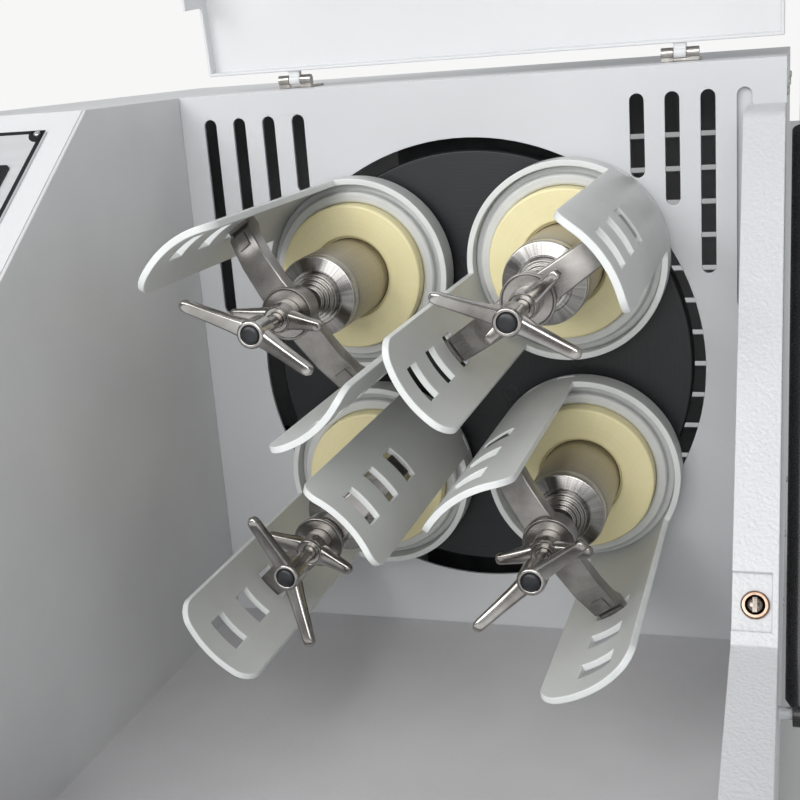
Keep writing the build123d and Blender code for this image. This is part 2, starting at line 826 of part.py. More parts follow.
# Lid fittings: the lock's ring with its guide tube, and two fixed hinge leaves on the rear cover
hinge_places = [left_wall_x + lid_inset + hinge_inset, cabinet_right - lid_inset - hinge_inset]
knuckle = hinge_length / 3 - fit_gap
with BuildPart() as lid_fittings:
    disc(lock_floor.offset(seam / 3), lock_ring_radius, lock_ring_height)
    ring_edge = lid_fittings.edges().filter_by(GeomType.CIRCLE).sort_by(Axis((0, 0, 0), post_out))[-1]
    chamfer(ring_edge, length=1.0)
    disc(lock_floor.offset(seam / 3), lock_bore_radius + lock_tube_wall, -lock_body_length)
    ring_top = lock_floor.offset(lock_ring_height + 1)
    disc(ring_top, lock_bore_radius, -2 * lock_body_length, mode=Mode.SUBTRACT)
    # Each leaf carries two knuckles and the pin
    for x in hinge_places:
        leaf_back = hinge_y + hinge_leaf_depth
        leaf = [
            (hinge_y, cabinet_top + seam),
            (leaf_back, cabinet_top + seam),
            (leaf_back, cabinet_top + seam + hinge_leaf),
            (hinge_y, cabinet_top + seam + hinge_leaf),
        ]
        web = [
            (hinge_y - hinge_radius / 2, cabinet_top + seam),
            (hinge_y + hinge_radius, cabinet_top + seam),
            (hinge_y + hinge_radius, hinge_z),
            (hinge_y - hinge_radius / 2, hinge_z),
        ]
        extrude(side_profile(leaf, x - hinge_length / 2), amount=hinge_length)
        for start in (x - hinge_length / 2, x + hinge_length / 2 - knuckle):
            extrude(side_profile(web, start), amount=knuckle)
            disc(
                Plane(origin=(start, hinge_y, hinge_z), x_dir=(0, 1, 0), z_dir=(1, 0, 0)),
                hinge_radius,
                knuckle,
            )
        disc(
            Plane(origin=(x - hinge_length / 2, hinge_y, hinge_z), x_dir=(0, 1, 0), z_dir=(1, 0, 0)),
            hinge_pin_radius,
            hinge_length,
        )
save(lid_fittings.part, "lid_fittings")

# Lid, drawn closed: a folded hood whose sides follow the post, with a chin between the walls
lid_left = left_wall_x + lid_inset
lid_right = cabinet_right - lid_inset
lid_front_y = cabinet_front + 1.0
lid_outline = [
    (lid_rear_y, hinge_z - hinge_radius - seam),
    (lid_rear_y, lid_top),
    (lid_brow_y, lid_top),
    (lid_front_y, lid_chin_z),
    (lid_front_y, lid_chin_bottom),
    (lid_rear_y, lid_chin_bottom),
]
with BuildPart() as lid_closed:
    extrude(side_profile(lid_outline, lid_left), amount=lid_right - lid_left)
    with BuildSketch(Plane.YZ.offset(lid_left + lid_sheet)):
        with BuildLine():
            Polyline(*lid_outline, close=True)
        make_face()
        offset(amount=-lid_sheet, kind=Kind.INTERSECTION)
        with Locations(((lid_front_y + lid_rear_y) / 2, lid_chin_bottom)):
            Rectangle(lid_rear_y - lid_front_y - 2 * lid_sheet, 4 * lid_sheet)
    extrude(amount=lid_right - lid_left - 2 * lid_sheet, mode=Mode.SUBTRACT)
    # Both side walls are cut back to clear the post's outline
    left_cut = (lid_left - 1, lid_left + lid_sheet + 1)
    right_cut = (right_wall_x - lid_inset, lid_right + 1)
    for cut_left, cut_right in (left_cut, right_cut):
        with BuildSketch(Plane.YZ.offset(cut_left)):
            with BuildLine():
                Polyline(*post_outline, close=True)
            make_face()
            offset(amount=lid_gap, kind=Kind.INTERSECTION)
        extrude(amount=cut_right - cut_left, mode=Mode.SUBTRACT)
    with BuildSketch(Plane.XY.offset(cabinet_top + lid_inset)):
        with Locations(((lid_left + lid_right) / 2, panel_y - lid_gap + cabinet_rear / 2)):
            Rectangle(lid_right - lid_left + 2, cabinet_rear)
    extrude(amount=-cabinet_top, mode=Mode.SUBTRACT)
    # The moving knuckles, on straps from the lid's rear edge
    for x in hinge_places:
        strap = [
            (lid_rear_y - lid_sheet / 2, hinge_z - hinge_radius / 2),
            (hinge_y, hinge_z - hinge_radius / 2),
            (hinge_y, hinge_z + hinge_radius),
            (lid_rear_y - lid_sheet / 2, hinge_z + hinge_radius),
        ]
        start = x - hinge_length / 6
        extrude(side_profile(strap, start), amount=hinge_length / 3)
        knuckle_plane = Plane(origin=(start, hinge_y, hinge_z), x_dir=(0, 1, 0), z_dir=(1, 0, 0))
        disc(knuckle_plane, hinge_radius, hinge_length / 3)
        disc(knuckle_plane, hinge_pin_radius + running_clearance, hinge_length / 3, mode=Mode.SUBTRACT)
    # The stud that the strut's rod reaches
    with BuildSketch(Plane.YZ.offset(lid_right)):
        with Locations((strut_stud_y, strut_stud_z)):
            Circle(stud_radius)
    extrude(amount=strut_x - strut_eye_width / 2 - fit_gap - lid_right)
    # The grab handle stands off the chin on two posts
    grab_plane = Plane.XZ.offset(-lid_front_y + fit_gap / 3)
    with BuildSketch(grab_plane):
        with Locations((wheel_x, grab_z)):
            with GridLocations(grab_length - 4 * grab_post_radius, 1, 2, 1):
                Circle(grab_post_radius)
    extrude(amount=grab_reach)
    bar_plane = Plane(
        origin=(wheel_x - grab_length / 2, lid_front_y - fit_gap / 3 - grab_reach, grab_z),
        x_dir=(0, 1, 0),
        z_dir=(1, 0, 0),
    )
    disc(bar_plane, grab_radius, grab_length)
hinge_axis = Axis((0, hinge_y, hinge_z), (1, 0, 0))
save(lid_closed.part.rotate(hinge_axis, -lid_open_angle), "lid")

# Gas strut, drawn with the lid open: its rod ends beside the lid's stud
open_turn = radians(-lid_open_angle)
arm_y = strut_stud_y - hinge_y
arm_z = strut_stud_z - hinge_z
stud_open_y = hinge_y + arm_y * cos(open_turn) - arm_z * sin(open_turn)
stud_open_z = hinge_z + arm_y * sin(open_turn) + arm_z * cos(open_turn)
strut_open = hypot(stud_open_y - strut_base_y, stud_open_z - strut_base_z)
strut_along = (0, (stud_open_y - strut_base_y) / strut_open, (stud_open_z - strut_base_z) / strut_open)
strut_plane = Plane(origin=(strut_x, strut_base_y, strut_base_z), x_dir=(1, 0, 0), z_dir=strut_along)
eye_left = strut_x - strut_eye_width / 2
with BuildPart() as strut_cylinder:
    disc(strut_plane.offset(strut_eye_radius / 2), strut_radius, strut_length - strut_eye_radius / 2)
    base_eye = Plane(origin=(eye_left, strut_base_y, strut_base_z), x_dir=(0, 1, 0), z_dir=(1, 0, 0))
    disc(base_eye.offset(-strut_radius), strut_eye_radius, strut_radius, mode=Mode.SUBTRACT)
    disc(base_eye, strut_eye_radius, strut_eye_width)
    disc(base_eye.offset(strut_eye_width), strut_eye_radius, strut_radius, mode=Mode.SUBTRACT)
    disc(base_eye, stud_radius + running_clearance, strut_eye_width, mode=Mode.SUBTRACT)
    bore_start = strut_plane.offset(strut_eye_radius + strut_end_wall)
    bore_length = strut_length - strut_eye_radius - 2 * strut_end_wall
    disc(bore_start, strut_radius - strut_wall, bore_length, mode=Mode.SUBTRACT)
    disc(bore_start, rod_radius + running_clearance, strut_length, mode=Mode.SUBTRACT)
save(strut_cylinder.part, "strut_cylinder")

with BuildPart() as strut_rod:
    disc(strut_plane.offset(rod_inner_end), rod_radius, strut_open - rod_inner_end)
    piston_radius = strut_radius - strut_wall - running_clearance
    disc(strut_plane.offset(rod_inner_end), piston_radius, piston_length)
    rod_eye = Plane(origin=(eye_left, stud_open_y, stud_open_z), x_dir=(0, 1, 0), z_dir=(1, 0, 0))
    disc(rod_eye, strut_eye_radius, strut_eye_width)
    disc(rod_eye, stud_radius + running_clearance, strut_eye_width, mode=Mode.SUBTRACT)
save(strut_rod.part, "strut_rod")

# The four stations. Each turns about its own line along Y, at its own bar, handle and nut angle
pad_back = jar_lid_front + fit_gap
pad_front = pad_back + pad_step * len(pad_radii)
for k in range(4):
    x, z = station_places[k]
    station = f"planet_{k + 1}"
    along_bar = (cos(radians(bar_angles[k])), 0, sin(radians(bar_angles[k])))
    across_bar = (-along_bar[2], 0, along_bar[0])

    # Seat: shaft, hub and dish in one turning, with the belt pulley on the shaft's end
    with BuildPart() as seat:
        turned(
            x,
            z,
            [
                (0, -planet_shaft_end),
                (planet_shaft_radius, -planet_shaft_end),
                (planet_shaft_radius, -wheel_setback + seam),
                (seat_hub_radius, -wheel_setback + seam),
                (seat_hub_radius, seat_back),
                (seat_radius, seat_back),
                (seat_radius, groove_floor),
                (ring_outer_radius, groove_floor),
                (ring_outer_radius, ring_front),
                (ring_inner_radius, ring_front),
                (ring_inner_radius, seat_floor),
                (0, seat_floor),
            ],
        )
        disc(
            depth_plane(x, z, -pulley_levels[k]),
            planet_pulley_radius,
            -pulley_width,
            planet_shaft_radius + press_gap,
        )
    save(seat.part, f"{station}_seat")

    # Cage: a tube cut away to two ears, with three windows in each for the bar, and drains at the root
    cage_plane = Plane(origin=(x, panel_y, z), x_dir=across_bar, z_dir=along_bar)
    with BuildPart() as cage:
        with BuildSketch(cage_plane):
            with Locations((0, (cage_back + ear_tip) / 2)):
                Rectangle(ear_width, ear_tip - cage_back)
            tips = vertices().group_by(Axis.Y)[-1]
            fillet(tips, radius=ear_corner)
        extrude(amount=cage_radius + 1, both=True)
        disc(
            depth_plane(x, z, cage_back),
            cage_radius,
            ear_tip - cage_back,
            cage_radius - cage_wall,
            mode=Mode.INTERSECT,
        )
        disc(depth_plane(x, z, cage_back), cage_radius, cage_rim - cage_back, cage_radius - cage_wall)
        with BuildSketch(cage_plane):
            with Locations((0, window_first + window_pitch)):
                with GridLocations(1, window_pitch, 1, 3):
                    RectangleRounded(window_width, window_depth, 2)
        extrude(amount=cage_radius + 1, both=True, mode=Mode.SUBTRACT)
        for turn in (-drain_spacing, 0, drain_spacing):
            facing = radians(bar_angles[k] + turn)
            outwards = (cos(facing), 0, sin(facing))
            sideways = (-sin(facing), 0, cos(facing))
            with BuildSketch(Plane(origin=(x, panel_y, z), x_dir=sideways, z_dir=outwards)):
                with Locations((0, drain_depth)):
                    SlotOverall(drain_length, drain_width)
            extrude(amount=cage_radius + 1, both=True, mode=Mode.SUBTRACT)
    save(cage.part, f"{station}_cage")

    # Adapter ring in the seat's dish
    with BuildPart() as adapter:
        adapter_back = depth_plane(x, z, seat_floor + fit_gap)
        disc(adapter_back, adapter_radius, adapter_front - seat_floor - fit_gap, adapter_bore)
        outer_edges = adapter.edges().filter_by(GeomType.CIRCLE).group_by(SortBy.RADIUS)[-1]
        chamfer(outer_edges.sort_by(Axis.Y)[0], length=adapter_bevel)
    save(adapter.part, f"{station}_adapter")

    # Grinding jar standing in the adapter, and its lid with a spigot in the jar's mouth
    jar_bottom = seat_floor + fit_gap
    with BuildPart() as jar:
        disc(depth_plane(x, z, jar_bottom), jar_radius, jar_mouth - jar_bottom)
        inside = depth_plane(x, z, jar_bottom + jar_wall)
        disc(inside, jar_radius - jar_wall, jar_mouth, mode=Mode.SUBTRACT)
    save(jar.part, f"{station}_jar")

    with BuildPart() as jar_lid:
        spigot = jar_radius - jar_wall - fit_gap
        turned(
            x,
            z,
            [
                (0, jar_mouth - jar_lid_skirt),
                (spigot, jar_mouth - jar_lid_skirt),
                (spigot, jar_mouth + fit_gap),
                (jar_lid_edge_radius, jar_mouth + fit_gap),
                (jar_lid_edge_radius, jar_lid_shoulder),
                (jar_lid_face_radius, jar_lid_front),
                (0, jar_lid_front),
            ],
        )
    save(jar_lid.part, f"{station}_jar_lid")

    # Clamping bar: an arched bridge with two wear pads on its slopes and a rimmed, threaded boss. Its
    # ends are tongues in the ears' rear windows
    bar_turn = radians(bar_angles[k] + bar_turns[k])
    along = (cos(bar_turn), 0, sin(bar_turn))
    bar_side = [
        (bar_crest_half, bar_crest),
        bar_shoulder,
        bar_slope_end,
        (bar_tongue, bar_front),
        (bar_length / 2, bar_front),
        (bar_length / 2, bar_back),
        *reversed(bar_belly),
    ]
    other_side = [(-place, depth) for place, depth in reversed(bar_side)]
    with BuildPart() as clamp_bar:
        bar_plane = Plane(origin=(x, panel_y - bar_back, z), x_dir=along, z_dir=(0, -1, 0))
        with BuildSketch(bar_plane):
            with BuildLine():
                Polyline(
                    (-bar_length / 2, -bar_end_width / 2),
                    (0, -bar_width / 2),
                    (bar_length / 2, -bar_end_width / 2),
                    (bar_length / 2, bar_end_width / 2),
                    (0, bar_width / 2),
                    (-bar_length / 2, bar_end_width / 2),
                    close=True,
                )
            make_face()
        extrude(amount=bar_crest - bar_back)
        with BuildSketch(Plane(origin=(x, panel_y, z), x_dir=along, z_dir=(along[2], 0, -along[0]))):
            with BuildLine():
                Polyline(*bar_side, *other_side, close=True)
            make_face()
        extrude(amount=bar_width, both=True, mode=Mode.INTERSECT)
        for side in (1, -1):
            place = side * bar_pad_centre
            outwards = side * (bar_slope_end[0] - bar_shoulder[0])
            backwards = bar_shoulder[1] - bar_slope_end[1]
            share = (bar_pad_centre - bar_shoulder[0]) / (bar_slope_end[0] - bar_shoulder[0])
            pad_depth = bar_shoulder[1] - share * backwards
            pad_plane = Plane(
                origin=(x + place * along[0], panel_y - pad_depth, z + place * along[2]),
                x_dir=(outwards * along[0], backwards, outwards * along[2]),
                z_dir=(backwards * along[0] * side, -abs(outwards), backwards * along[2] * side),
            )
            with BuildSketch(pad_plane):
                RectangleRounded(bar_pad_length, bar_pad_width, 2)
            extrude(amount=bar_pad_height)
        disc(depth_plane(x, z, bar_back), boss_radius, boss_front - bar_back)
        disc(depth_plane(x, z, boss_front - boss_rim_width), boss_rim_radius, boss_rim_width)
        thread = screw_radius + screw_clearance
        disc(depth_plane(x, z, bar_back), thread, boss_front, mode=Mode.SUBTRACT)
    save(clamp_bar.part, f"{station}_bar")

    # Stepped pad that the screw presses on the jar's lid
    with BuildPart() as pad:
        for step, radius in enumerate(pad_radii):
            disc(depth_plane(x, z, pad_back), radius, pad_step * (step + 1))
        disc(depth_plane(x, z, screw_tip - fit_gap), thread, pad_front, mode=Mode.SUBTRACT)
    save(pad.part, f"{station}_pad")

    # Clamping screw with its hub, cap and two arms
    with BuildPart() as screw:
        disc(depth_plane(x, z, screw_tip), screw_radius, hub_front - screw_tip)
        disc(depth_plane(x, z, hub_back), hub_radius, hub_front - hub_back)
        for angle in (handle_angles[k], handle_angles[k] + 180):
            arm(x, z, handle_depth, angle, handle_tilt, handle_reach, handle_root_radius, handle_tip_radius)
        disc(depth_plane(x, z, hub_front), cap_radius, cap_height)
    save(screw.part, f"{station}_screw")

    # Lock nut with its two arms, run down on the bar's boss
    with BuildPart() as nut:
        disc(depth_plane(x, z, boss_front + fit_gap), nut_radius, nut_shoulder - boss_front - fit_gap)
        disc(depth_plane(x, z, nut_shoulder), nut_collar_radius, nut_front - nut_shoulder)
        for angle in (nut_angles[k], nut_angles[k] + 180):
            arm(x, z, nut_arm_depth, angle, nut_tilt, nut_reach, nut_root_radius, nut_tip_radius)
        disc(depth_plane(x, z, boss_front), thread, boss_front, mode=Mode.SUBTRACT)
    save(nut.part, f"{station}_nut")
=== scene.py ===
# A horizontal planetary ball mill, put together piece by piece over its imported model, with its lid
# thrown back from the grinding chamber. Metres, Z up, the front faces -Y.

import json
import math

import bpy
from mathutils import Matrix, Vector

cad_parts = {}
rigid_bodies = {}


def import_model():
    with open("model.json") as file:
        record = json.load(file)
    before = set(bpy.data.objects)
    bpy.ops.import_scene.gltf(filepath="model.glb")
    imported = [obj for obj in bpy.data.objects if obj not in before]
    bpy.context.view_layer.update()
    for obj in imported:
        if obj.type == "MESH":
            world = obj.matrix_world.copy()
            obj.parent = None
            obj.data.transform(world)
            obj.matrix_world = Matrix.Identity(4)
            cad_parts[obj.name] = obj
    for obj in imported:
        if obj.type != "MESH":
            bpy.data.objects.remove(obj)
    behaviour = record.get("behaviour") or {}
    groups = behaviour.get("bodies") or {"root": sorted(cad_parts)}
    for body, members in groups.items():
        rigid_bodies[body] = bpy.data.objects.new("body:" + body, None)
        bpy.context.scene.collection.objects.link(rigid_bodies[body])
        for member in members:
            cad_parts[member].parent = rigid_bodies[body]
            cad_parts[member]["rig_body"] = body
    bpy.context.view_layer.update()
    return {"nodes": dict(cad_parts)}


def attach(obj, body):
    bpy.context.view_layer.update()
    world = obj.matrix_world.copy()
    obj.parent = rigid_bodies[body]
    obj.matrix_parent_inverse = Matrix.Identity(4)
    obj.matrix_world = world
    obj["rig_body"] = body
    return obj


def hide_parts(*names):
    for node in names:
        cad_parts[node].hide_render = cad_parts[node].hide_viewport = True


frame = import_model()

nodes = frame["nodes"]
bpy.ops.object.select_all(action="DESELECT")


# Camera. It stands in front of the machine on its right, a little above the cabinet, leans a little to
# one side, and looks down through the open front at the wheel.
turn_right, look_down, lean = (math.radians(a) for a in (18.1961, 15.5786, -4.4047))
ahead = Vector((
    -math.sin(turn_right) * math.cos(look_down),
    math.cos(turn_right) * math.cos(look_down),
    -math.sin(look_down),
))
level = Vector((math.cos(turn_right), math.sin(turn_right), 0))
upright = level.cross(ahead)
frame_across = level * math.cos(lean) + upright * math.sin(lean)
frame_up = upright * math.cos(lean) - level * math.sin(lean)
bpy.ops.object.camera_add()
camera = bpy.context.object
facing = Matrix((frame_across, frame_up, -ahead)).transposed().to_4x4()
camera.matrix_world = Matrix.Translation((0.32346, -0.96265, 0.57599)) @ facing
camera.data.lens = 56.245
camera.data.sensor_width = 36
camera.data.clip_start = 0.02
bpy.context.scene.camera = camera
bpy.context.scene.view_settings.view_transform = "Standard"


# Studio. A large soft lamp in front on the left, a wide one overhead, a pale floor, and a world that
# looks white and lights the machine evenly from all round.
def lamp(name, place, target, size, power):
    # A square lamp turned to the point that it lights
    bpy.ops.object.light_add(type="AREA", location=place)
    light = bpy.context.object
    light.name = name
    light.data.size = size
    light.data.energy = power
    light.rotation_euler = (Vector(target) - Vector(place)).to_track_quat("-Z", "Y").to_euler()


lamp("left_lamp", (-1.5, -2.6, 2.1), (0.0, 0.0, 0.4), 1.8, 48)
lamp("front_lamp", (0.2, -2.9, 1.5), (0.0, 0.0, 0.3), 1.8, 34)
lamp("top_lamp", (0.3, -0.9, 3.1), (0.0, -0.1, 0.3), 2.4, 8)

world = bpy.data.worlds.new("studio")
bpy.context.scene.world = world
world.use_nodes = True
sky = world.node_tree
around = sky.nodes["Background"]
around.inputs["Color"].default_value = (0.96, 0.98, 1.0, 1)
around.inputs["Strength"].default_value = 0.42
seen = sky.nodes.new("ShaderNodeBackground")
seen.inputs["Color"].default_value = (0.93, 0.93, 0.925, 1)
path = sky.nodes.new("ShaderNodeLightPath")
bright_ray = sky.nodes.new("ShaderNodeMath")
bright_ray.operation = "MAXIMUM"
sky.links.new(path.outputs["Is Camera Ray"], bright_ray.inputs[0])
sky.links.new(path.outputs["Is Transmission Ray"], bright_ray.inputs[1])
choose = sky.nodes.new("ShaderNodeMixShader")
sky.links.new(bright_ray.outputs[0], choose.inputs["Fac"])
# Metal shows the room in soft light and dark bands, as it does between windows and walls
mirrored = sky.nodes.new("ShaderNodeBackground")
direction = sky.nodes.new("ShaderNodeTexCoord")
bands = sky.nodes.new("ShaderNodeTexNoise")
bands.inputs["Scale"].default_value = 2.6
bands.inputs["Detail"].default_value = 1.0
room = sky.nodes.new("ShaderNodeValToRGB")
dark_wall, window = room.color_ramp.elements
dark_wall.position = 0.44
dark_wall.color = (0.10, 0.097, 0.094, 1)
window.position = 0.60
window.color = (0.95, 0.95, 0.95, 1)
sky.links.new(direction.outputs["Generated"], bands.inputs["Vector"])
sky.links.new(bands.outputs["Fac"], room.inputs["Fac"])
sky.links.new(room.outputs["Color"], mirrored.inputs["Color"])
glossy = sky.nodes.new("ShaderNodeMixShader")
sky.links.new(path.outputs["Is Glossy Ray"], glossy.inputs["Fac"])
sky.links.new(around.outputs[0], glossy.inputs[1])
sky.links.new(mirrored.outputs[0], glossy.inputs[2])
sky.links.new(glossy.outputs[0], choose.inputs[1])
sky.links.new(seen.outputs[0], choose.inputs[2])
sky.links.new(choose.outputs[0], sky.nodes["World Output"].inputs["Surface"])

bpy.ops.mesh.primitive_plane_add(size=14)
floor = bpy.context.object
floor.name = "studio_floor"
floor_paint = bpy.data.materials.new("pale_floor")
floor_paint.use_nodes = True
floor_shader = floor_paint.node_tree.nodes["Principled BSDF"]
floor_shader.inputs["Base Color"].default_value = (0.80, 0.80, 0.79, 1)
floor_shader.inputs["Roughness"].default_value = 0.7
floor.data.materials.append(floor_paint)


# Feet. Four pads turned from black rubber, a little wider below, each screwed up into a corner of the
# base pan.
def lay_on(surface, tone, gloss, height, colours, span, roughness, spread, relief, strength):
    # Lead three patterns to the shader: tone chooses between two near colours, gloss swings the
    # roughness about its middle, and height stands as a fine relief
    tree = surface.node_tree
    shader = tree.nodes["Principled BSDF"]
    ramp = tree.nodes.new("ShaderNodeValToRGB")
    for stop, place, colour in zip(ramp.color_ramp.elements, span, colours):
        stop.position = place
        stop.color = (*colour, 1)
    tree.links.new(tone, ramp.inputs["Fac"])
    tree.links.new(ramp.outputs["Color"], shader.inputs["Base Color"])
    dullness = tree.nodes.new("ShaderNodeMapRange")
    dullness.inputs["To Min"].default_value = roughness - spread
    dullness.inputs["To Max"].default_value = roughness + spread
    tree.links.new(gloss, dullness.inputs["Value"])
    tree.links.new(dullness.outputs["Result"], shader.inputs["Roughness"])
    bump = tree.nodes.new("ShaderNodeBump")
    bump.inputs["Strength"].default_value = strength
    bump.inputs["Distance"].default_value = relief
    tree.links.new(height, bump.inputs["Height"])
    tree.links.new(bump.outputs["Normal"], shader.inputs["Normal"])


def new_surface(name, metallic):
    # A material of its own, metal or not
    surface = bpy.data.materials.new(name)
    surface.use_nodes = True
    surface.node_tree.nodes["Principled BSDF"].inputs["Metallic"].default_value = metallic
    return surface


def noise(tree, scale, detail, vector):
    # Cloudy noise over these coordinates
    texture = tree.nodes.new("ShaderNodeTexNoise")
    texture.inputs["Scale"].default_value = scale
    texture.inputs["Detail"].default_value = detail
    tree.links.new(vector, texture.inputs["Vector"])
    return texture


def finish(name, dark, light, roughness, metallic=0.0, blotch=9.0, grain=800.0, relief=0.00004,
           strength=0.35, stretch=(1, 1, 1), spread=0.06):
    # A surface in two near tones with soft blotches, and a fine grain that catches the light
    surface = new_surface(name, metallic)
    tree = surface.node_tree
    where = tree.nodes.new("ShaderNodeTexCoord")
    drawn = tree.nodes.new("ShaderNodeMapping")
    drawn.inputs["Scale"].default_value = stretch
    tree.links.new(where.outputs["Object"], drawn.inputs["Vector"])
    patches = noise(tree, blotch, 5.0, drawn.outputs["Vector"]).outputs["Fac"]
    speck = noise(tree, grain, 2.0, drawn.outputs["Vector"]).outputs["Fac"]
    lay_on(surface, patches, speck, speck, (dark, light), (0.3, 0.7), roughness, spread, relief,
           strength)
    return surface


def take(*pieces):
    # Pick up these pieces and nothing else, the last one in hand
    bpy.ops.object.select_all(action="DESELECT")
    for piece in pieces:
        piece.select_set(True)
    bpy.context.view_layer.objects.active = pieces[-1]


def ease(piece, width, steps=2, angle=30, smooth=40):
    # Round every edge sharper than the angle, and keep the flat faces flat to the light
    take(piece)
    if width > 0:
        edge = piece.modifiers.new("eased_edges", "BEVEL")
        edge.width = width
        edge.segments = steps
        edge.limit_method = "ANGLE"
        edge.angle_limit = math.radians(angle)
        edge.use_clamp_overlap = False
        bpy.ops.object.modifier_apply(modifier=edge.name)
    bpy.ops.object.shade_smooth_by_angle(angle=math.radians(smooth))
    level_light = piece.modifiers.new("flat_faces", "WEIGHTED_NORMAL")
    level_light.keep_sharp = True
    bpy.ops.object.modifier_apply(modifier=level_light.name)


def from_solid(node, name, *finishes):
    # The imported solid's own shape, taken as one clean mesh to be worked further
    piece = bpy.data.objects.new(name, nodes[node].data.copy())
    bpy.context.scene.collection.objects.link(piece)
    piece.data.materials.clear()
    for surface in finishes:
        piece.data.materials.append(surface)
    for face in piece.data.polygons:
        face.material_index = 0
    take(piece)
    bpy.ops.mesh.customdata_custom_splitnormals_clear()
    bpy.ops.object.mode_set(mode="EDIT")
    bpy.ops.mesh.select_all(action="SELECT")
    bpy.ops.mesh.remove_doubles(threshold=0.000002)
    bpy.ops.mesh.dissolve_limited(angle_limit=math.radians(0.5))
    bpy.ops.object.mode_set(mode="OBJECT")
    return piece


def fit(piece, node, replaced=True):
    # The finished piece moves with its solid's body, and stands for the solid where it replaces it
    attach(piece, nodes[node]["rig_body"])
    if replaced:
        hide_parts(node)


rubber = finish("foot_rubber", (0.012, 0.012, 0.013), (0.03, 0.03, 0.032), 0.75, blotch=60, grain=1500)
feet = from_solid("feet", "rubber_feet", rubber)
ease(feet, 0.0015, 3)
fit(feet, "feet")


# Base pan. A tray folded from 2 mm sheet under the whole machine, in the cabinet's pale powder coat
# gone a shade darker, which carries the walls, the bearing plate and the motor.
base_coat = finish("base_coat", (0.50, 0.51, 0.52), (0.56, 0.57, 0.58), 0.45, grain=620, relief=0.00012)
base = from_solid("base_pan", "folded_base", base_coat)
ease(base, 0.0012, 3)
fit(base, "base_pan")


# Chamber. Floor, side walls, sill and the boxed post on the right, welded from sheet and powder
# coated. The coat has the faint orange peel of a thick spray, coarsest on the post. The floor has the
# walls' coat painted darker, as painted shade.
wall_coat = finish("wall_coat", (0.645, 0.645, 0.65), (0.73, 0.73, 0.735), 0.34, blotch=7, grain=420,
                   relief=0.00016, strength=0.4)
# Painted shade: the floor's coat is the walls' coat made darker, for the shade that lies on the floor
floor_painted_shade = finish("floor_painted_shade", (0.545, 0.54, 0.55), (0.62, 0.615, 0.625), 0.32, blotch=7, grain=420,
                    relief=0.00022, strength=0.5)
post_coat = finish("post_coat", (0.59, 0.595, 0.61), (0.65, 0.655, 0.67), 0.30, blotch=6, grain=400,
                   relief=0.0007, strength=0.9)
post_inner = 0.2879
floor_top = 0.0775
chamber = from_solid("chamber", "welded_chamber", wall_coat, floor_painted_shade, post_coat)
# Post faces take the post's coat, and faces below the floor's top the floor's painted shade
for face in chamber.data.polygons:
    if face.center.x > post_inner:
        face.material_index = 2
    elif face.center.z < floor_top:
        face.material_index = 1
ease(chamber, 0.0009, 3)
fit(chamber, "chamber")


# Back panel. Flat sheet across the chamber, with the wheel's round hole and two fans of punched vent
# slots. A folded stay behind it closes the outermost slot on the right.
panel_coat = finish("panel_coat", (0.62, 0.63, 0.645), (0.68, 0.69, 0.705), 0.40, blotch=4, grain=600,
                    relief=0.00008, strength=0.3)
panel = from_solid("back_panel", "punched_panel", panel_coat)
ease(panel, 0.0005, 2)
fit(panel, "back_panel")


def edit_faces(piece, wanted):
    # Edit mode, with only the wanted faces selected
    take(piece)
    bpy.context.tool_settings.mesh_select_mode = (False, False, True)
    bpy.ops.object.mode_set(mode="EDIT")
    bpy.ops.mesh.select_all(action="DESELECT")
    bpy.ops.object.mode_set(mode="OBJECT")
    for face in piece.data.polygons:
        face.select = wanted(face)
    bpy.ops.object.mode_set(mode="EDIT")


bpy.ops.object.select_all(action="DESELECT")
stay_edge = 0.308
bpy.ops.mesh.primitive_cube_add(location=(stay_edge - 0.018, 0.0358, 0.440))
stay = bpy.context.object
stay.name = "panel_stay"
stay.scale = (0.018, 0.001, 0.100)
bpy.ops.object.transform_apply()
edit_faces(stay, lambda face: face.normal.x > 0.9)
bpy.ops.mesh.extrude_region_move(TRANSFORM_OT_translate={"value": (0.002, 0, 0)})
bpy.ops.object.mode_set(mode="OBJECT")
edit_faces(stay, lambda face: face.normal.y > 0.9 and face.center.x > stay_edge)
bpy.ops.mesh.extrude_region_move(TRANSFORM_OT_translate={"value": (0, 0.012, 0)})
bpy.ops.object.mode_set(mode="OBJECT")
stay.data.materials.append(panel_coat)
ease(stay, 0.0005, 2)
fit(stay, "back_panel", replaced=False)


# Console. The left-hand box of folded sheet with its sloped face, and the finned inverter inside it
# that drives the motor.
console_coat = finish("console_coat", (0.74, 0.745, 0.755), (0.79, 0.795, 0.805), 0.38, blotch=5,
                      grain=600, relief=0.00012)
inverter_black = finish("inverter_black", (0.02, 0.02, 0.022), (0.035, 0.035, 0.038), 0.5, grain=900)
inverter_low, inverter_high = (-0.31, -0.21, 0.0), (-0.19, -0.05, 0.23)
console = from_solid("console_shell", "folded_console", console_coat, inverter_black)
for face in console.data.polygons:
    if all(low < at < high for low, at, high in zip(inverter_low, face.center, inverter_high)):
        face.material_index = 1
ease(console, 0.0009, 3)
fit(console, "console_shell")


# Control plate. A thin anodised plate screwed to the console's slope, silver and brushed along its
# length, with a raised black bezel round the display.
slope = math.radians(36.87)
slope_out = Vector((0, -math.sin(slope), math.cos(slope)))
slope_up = Vector((0, math.cos(slope), math.sin(slope)))
console_left, console_right = -0.340, -0.1833
slope_top = Vector(((console_left + console_right) / 2, -0.122, 0.551))
plate_width = console_right - console_left - 2 * 0.0203
plate_length = 0.262
plate_middle = slope_top - slope_up * (0.0225 + plate_length / 2)
plate_face = 0.0021
# A flat piece drawn on X and Y with Z up lies on the slope, and a turned piece points out of it
laid = Matrix((Vector((1, 0, 0)), slope_up, slope_out)).transposed().to_4x4()
laid = Matrix.Translation(plate_middle) @ laid
standing = Matrix((Vector((1, 0, 0)), -slope_out, slope_up)).transposed().to_4x4()


